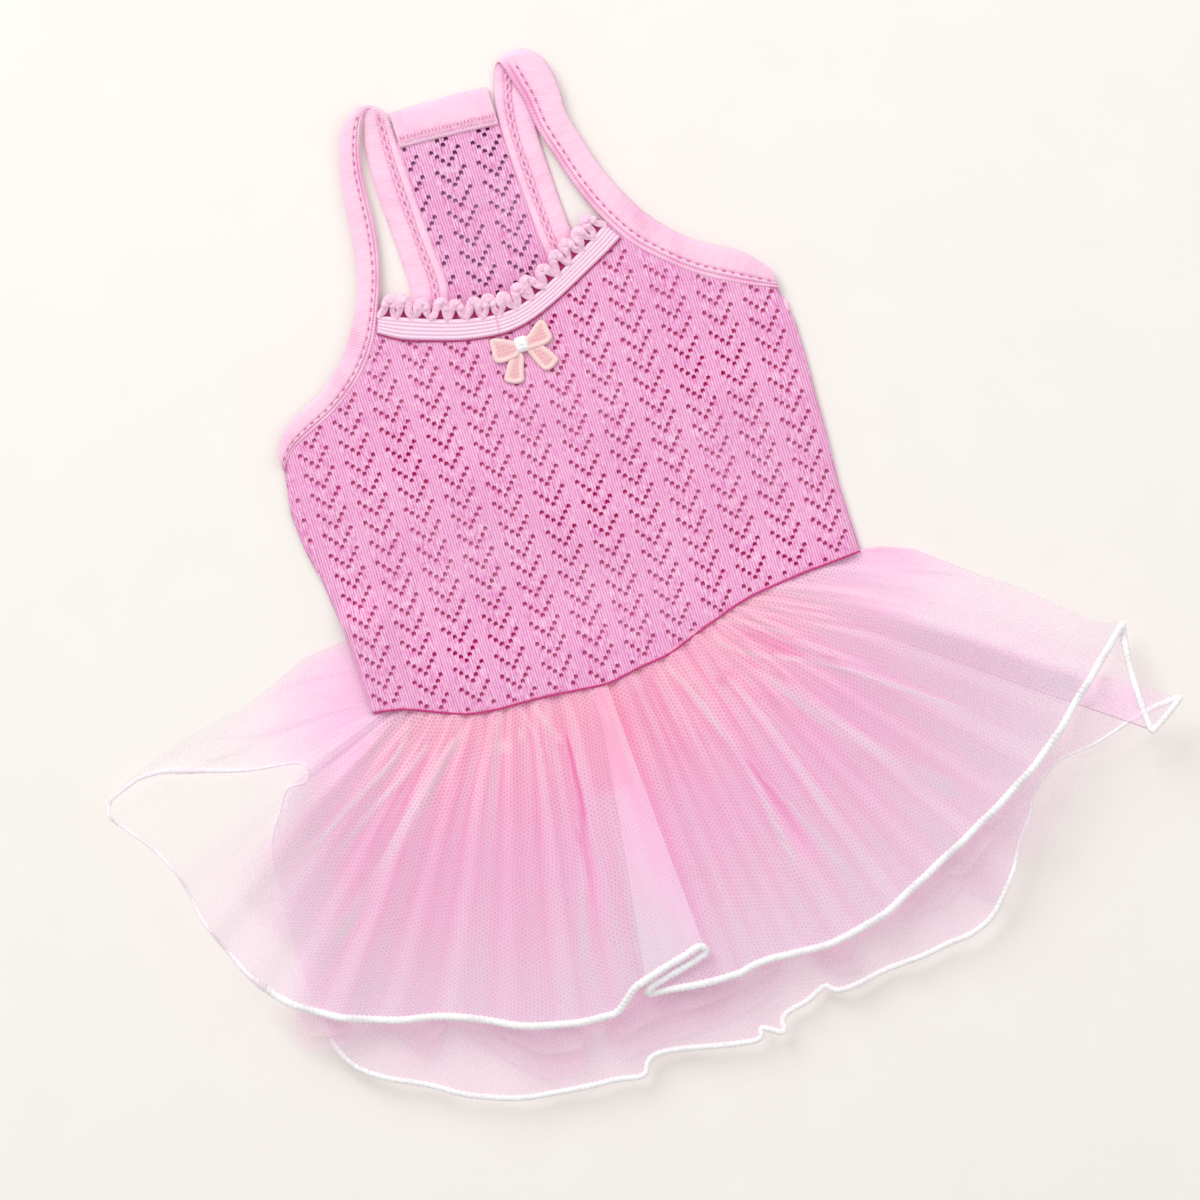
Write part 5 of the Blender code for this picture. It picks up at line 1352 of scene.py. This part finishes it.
def bow_part(outline, lift):
    """One loop or tail of the bow: its points, faces, rim and the stitches' places."""
    edge, along = respaced(rounded(np.array(outline + outline[:1]), 4), BOW_STEP)
    (left, low), (right, high) = edge.min(axis=0) - BOW_STEP, edge.max(axis=0) + 2 * BOW_STEP
    x, y = np.meshgrid(np.arange(left, right, BOW_STEP), np.arange(low, high, BOW_STEP))
    place = np.stack((x, y), -1)
    inside = np.zeros(x.shape, dtype=bool)
    for (ax, ay), (bx, by) in zip(edge, np.roll(edge, -1, axis=0)):
        if ay != by:
            crosses = (ay > y) != (by > y)
            inside ^= crosses & (x < (bx - ax) * (y - ay) / (by - ay) + ax)
    gap = np.hypot(x[..., None] - edge[:, 0], y[..., None] - edge[:, 1])
    nearest = gap.argmin(-1)
    away = np.where(inside, gap.min(-1), 0.0)
    x, y = (np.where(inside, place[..., k], edge[nearest, k]) for k in (0, 1))
    rim = np.sqrt(np.clip(1 - ((away - BOW_RIM) / BOW_RIM) ** 2, 0, 1)) * (away < 2 * BOW_RIM)
    knot_gap = np.hypot(x - KNOT_AT[0], y - KNOT_AT[1])
    z = FRONT_TOP_Z + lift + np.maximum(0.62 * smooth(away / 0.9), 0.8 * rim)
    z = z + 0.25 * smooth(1 - (knot_gap - 2.0) / 4.0)
    z = z + 0.02 * np.sin(along[nearest] * 2 * np.pi / 0.8) * rim
    faces = grid_faces(*x.shape)
    corners = np.stack((x, y), -1).reshape(-1, 2)[faces]
    cross = np.cross(corners[:, 2] - corners[:, 0], corners[:, 3] - corners[:, 1])
    faces = faces[inside.ravel()[faces].any(axis=1) & (np.abs(cross) > 0.002)]
    used, inverse = np.unique(faces, return_inverse=True)
    points = np.stack((x, y, z), -1).reshape(-1, 3)[used]
    return points, inverse.reshape(faces.shape), rim.ravel()[used], place.reshape(-1, 2)[used]


def bow_embroidery():
    """The embroidered bow: two tails and two loops over them, each with a padded rim."""
    points, faces, rims, places = zip(*(bow_part(outline, lift) for lift, outline in BOW))
    ob = add_piece("bow_embroidery", *joined(zip(points, faces)), EMBROIDERY,
                   np.concatenate(places), {"rim": np.concatenate(rims)})
    return thickened(ob, BOW_THICK)


def satin_knot():
    """The bow's knot: white satin ribbon wound round its middle."""
    rings, sides = 12, 36
    points = []
    for ring in range(rings):
        angle = math.pi / 2 * (rings - 1 - ring) / (rings - 1) * 0.98
        for side in range(sides):
            turn = 2 * math.pi * side / sides
            square = (abs(math.cos(turn)) ** 4 + abs(math.sin(turn)) ** 4) ** -0.25
            x = KNOT_SIZE[0] / 2 * math.cos(angle) * math.cos(turn) * square
            y = KNOT_SIZE[1] / 2 * math.cos(angle) * math.sin(turn) * square
            z = (KNOT_RISE + 0.09 * math.cos(y * 4.2)) * math.sin(angle)  # the ribbon's folds
            points.append((KNOT_AT[0] + x, KNOT_AT[1] + y, FRONT_TOP_Z + 1.0 + z))
    return add_piece("bow_knot_satin", points, closed_faces(rings, sides), KNOT_SATIN)


def waist_seam_and_shade():
    """A dark line along the bodice's lower edge: partly the waist seam's thread, partly painted
    shade.
    """
    line, _ = respaced(rounded(np.asarray(FAN)[2:, :2], 6), 1.0)
    x, y = line[:, 0], line[:, 1] - 0.5
    line = np.column_stack((x, y, front_z(x, y) + 1.55))
    return add_piece("waist_seam", *tube(line, 0.7, 0.5, 6), SEAM_THREAD_AND_SHADE)


# ---------------------------------------------------------------- staging

LAMPS = (
    # name, from the view's left and up, height in m, size, watts
    ("window", -1.0, 1.45, 1.45, 1.5, 31.0),
    ("fill", 1.4, 0.2, 2.2, 2.6, 14.0),
)


def staging():
    """The paper that the dress lies on, soft light from the view's upper left."""
    middle = (np.array(VIEW_CENTRE) - MIDDLE) * MM
    bpy.ops.mesh.primitive_plane_add(size=FLOOR_SIZE, location=(*middle, -0.0002))
    floor = bpy.context.object
    floor.name = "paper_floor"
    floor.data.materials.append(WHITE_PAPER)
    camera = bpy.data.objects.new("camera", bpy.data.cameras.new("camera"))
    bpy.context.collection.objects.link(camera)
    camera.location = (*middle, VIEW_DISTANCE * MM)
    camera.rotation_euler = (0.0, 0.0, -VIEW_TILT)
    camera.data.sensor_width = SENSOR
    camera.data.lens = SENSOR * VIEW_DISTANCE / VIEW_WIDTH
    bpy.context.scene.camera = camera
    c, s = math.cos(-VIEW_TILT), math.sin(-VIEW_TILT)
    for name, left, up, tall, size, power in LAMPS:
        lamp = bpy.data.objects.new(name, bpy.data.lights.new(name, "AREA"))
        lamp.data.size, lamp.data.energy = size, power
        x, y = c * left - s * up, s * left + c * up
        lamp.location = (middle[0] + x, middle[1] + y, tall)
        lamp.rotation_euler = (0.0, math.atan2(math.hypot(x, y), tall), math.atan2(y, x))
        bpy.context.collection.objects.link(lamp)
    world = bpy.data.worlds.new("studio")
    world.use_nodes = True
    background = world.node_tree.nodes["Background"]
    background.inputs["Color"].default_value = srgb("#FFFDFB")
    background.inputs["Strength"].default_value = 0.55
    bpy.context.scene.world = world
    bpy.context.scene.view_settings.view_transform = "Standard"


def riding(ob, node_name=None):
    """A piece that rides on the dress, and may take the place of a node."""
    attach(ob, "root")
    if node_name:
        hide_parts(node_name)


def sheet(ob, node_name):
    """A cloth piece that takes the place of a node."""
    riding(ob, node_name)


front = front_knit()
back = back_knit()
straps, threads = {}, []
for side, edges, flip, fold, hidden, arch in STRAPS:
    straps[side] = binding(side + "_strap_jersey", strap_stations(*edges), 4,
                           (STRAP_INSIDE, STRAP_OUTSIDE), flip, fold, arch)
band, band_run = binding("back_neck_band_jersey", [
    (x, high, x, low, BACK_BINDING_Z) for x, low, high in NECK_BAND
], 6, (BAND_PROFILE, BAND_PROFILE), True)
for side, _, _, fold, hidden, _ in STRAPS:
    run = straps[side][1]
    rows = run[5]
    threads.append(stitches(run, rows[0] + 2, rows[fold - 2], side + "_strap_stitches"))
    threads.append(chain(run, rows[fold + 2], rows[hidden], side + "_back_stitches"))
threads.append(zigzag(band_run, 0.5, 34.0, "band_stitches"))
elastic, picots, elastic_seam_and_shade, elastic_join = elastic_band()
bow = bow_embroidery()
knot = satin_knot()
outer, hem, marks = outer_tulle()
net = inner_net()
cords = hem_cords(hem, marks)
seam = waist_seam_and_shade()
staging()

sheet(front, "front_bodice")
sheet(back, "back_bodice")
sheet(straps["left"][0], "left_strap")
sheet(straps["right"][0], "right_strap")
sheet(band, "back_neck_band")
sheet(elastic, "neck_elastic")
sheet(outer, "outer_tulle_tier")
sheet(net, "inner_net_tube")
riding(bow, "bow")
riding(knot, "bow_knot")
for slot, pieces in (
    ("tulle", cords), ("bodice_knit", [seam]),
    ("picot_elastic", [elastic_seam_and_shade, elastic_join, picots]), ("jersey_binding", threads),
):
    for ob in pieces:
        riding(ob)

bpy.context.view_layer.update()
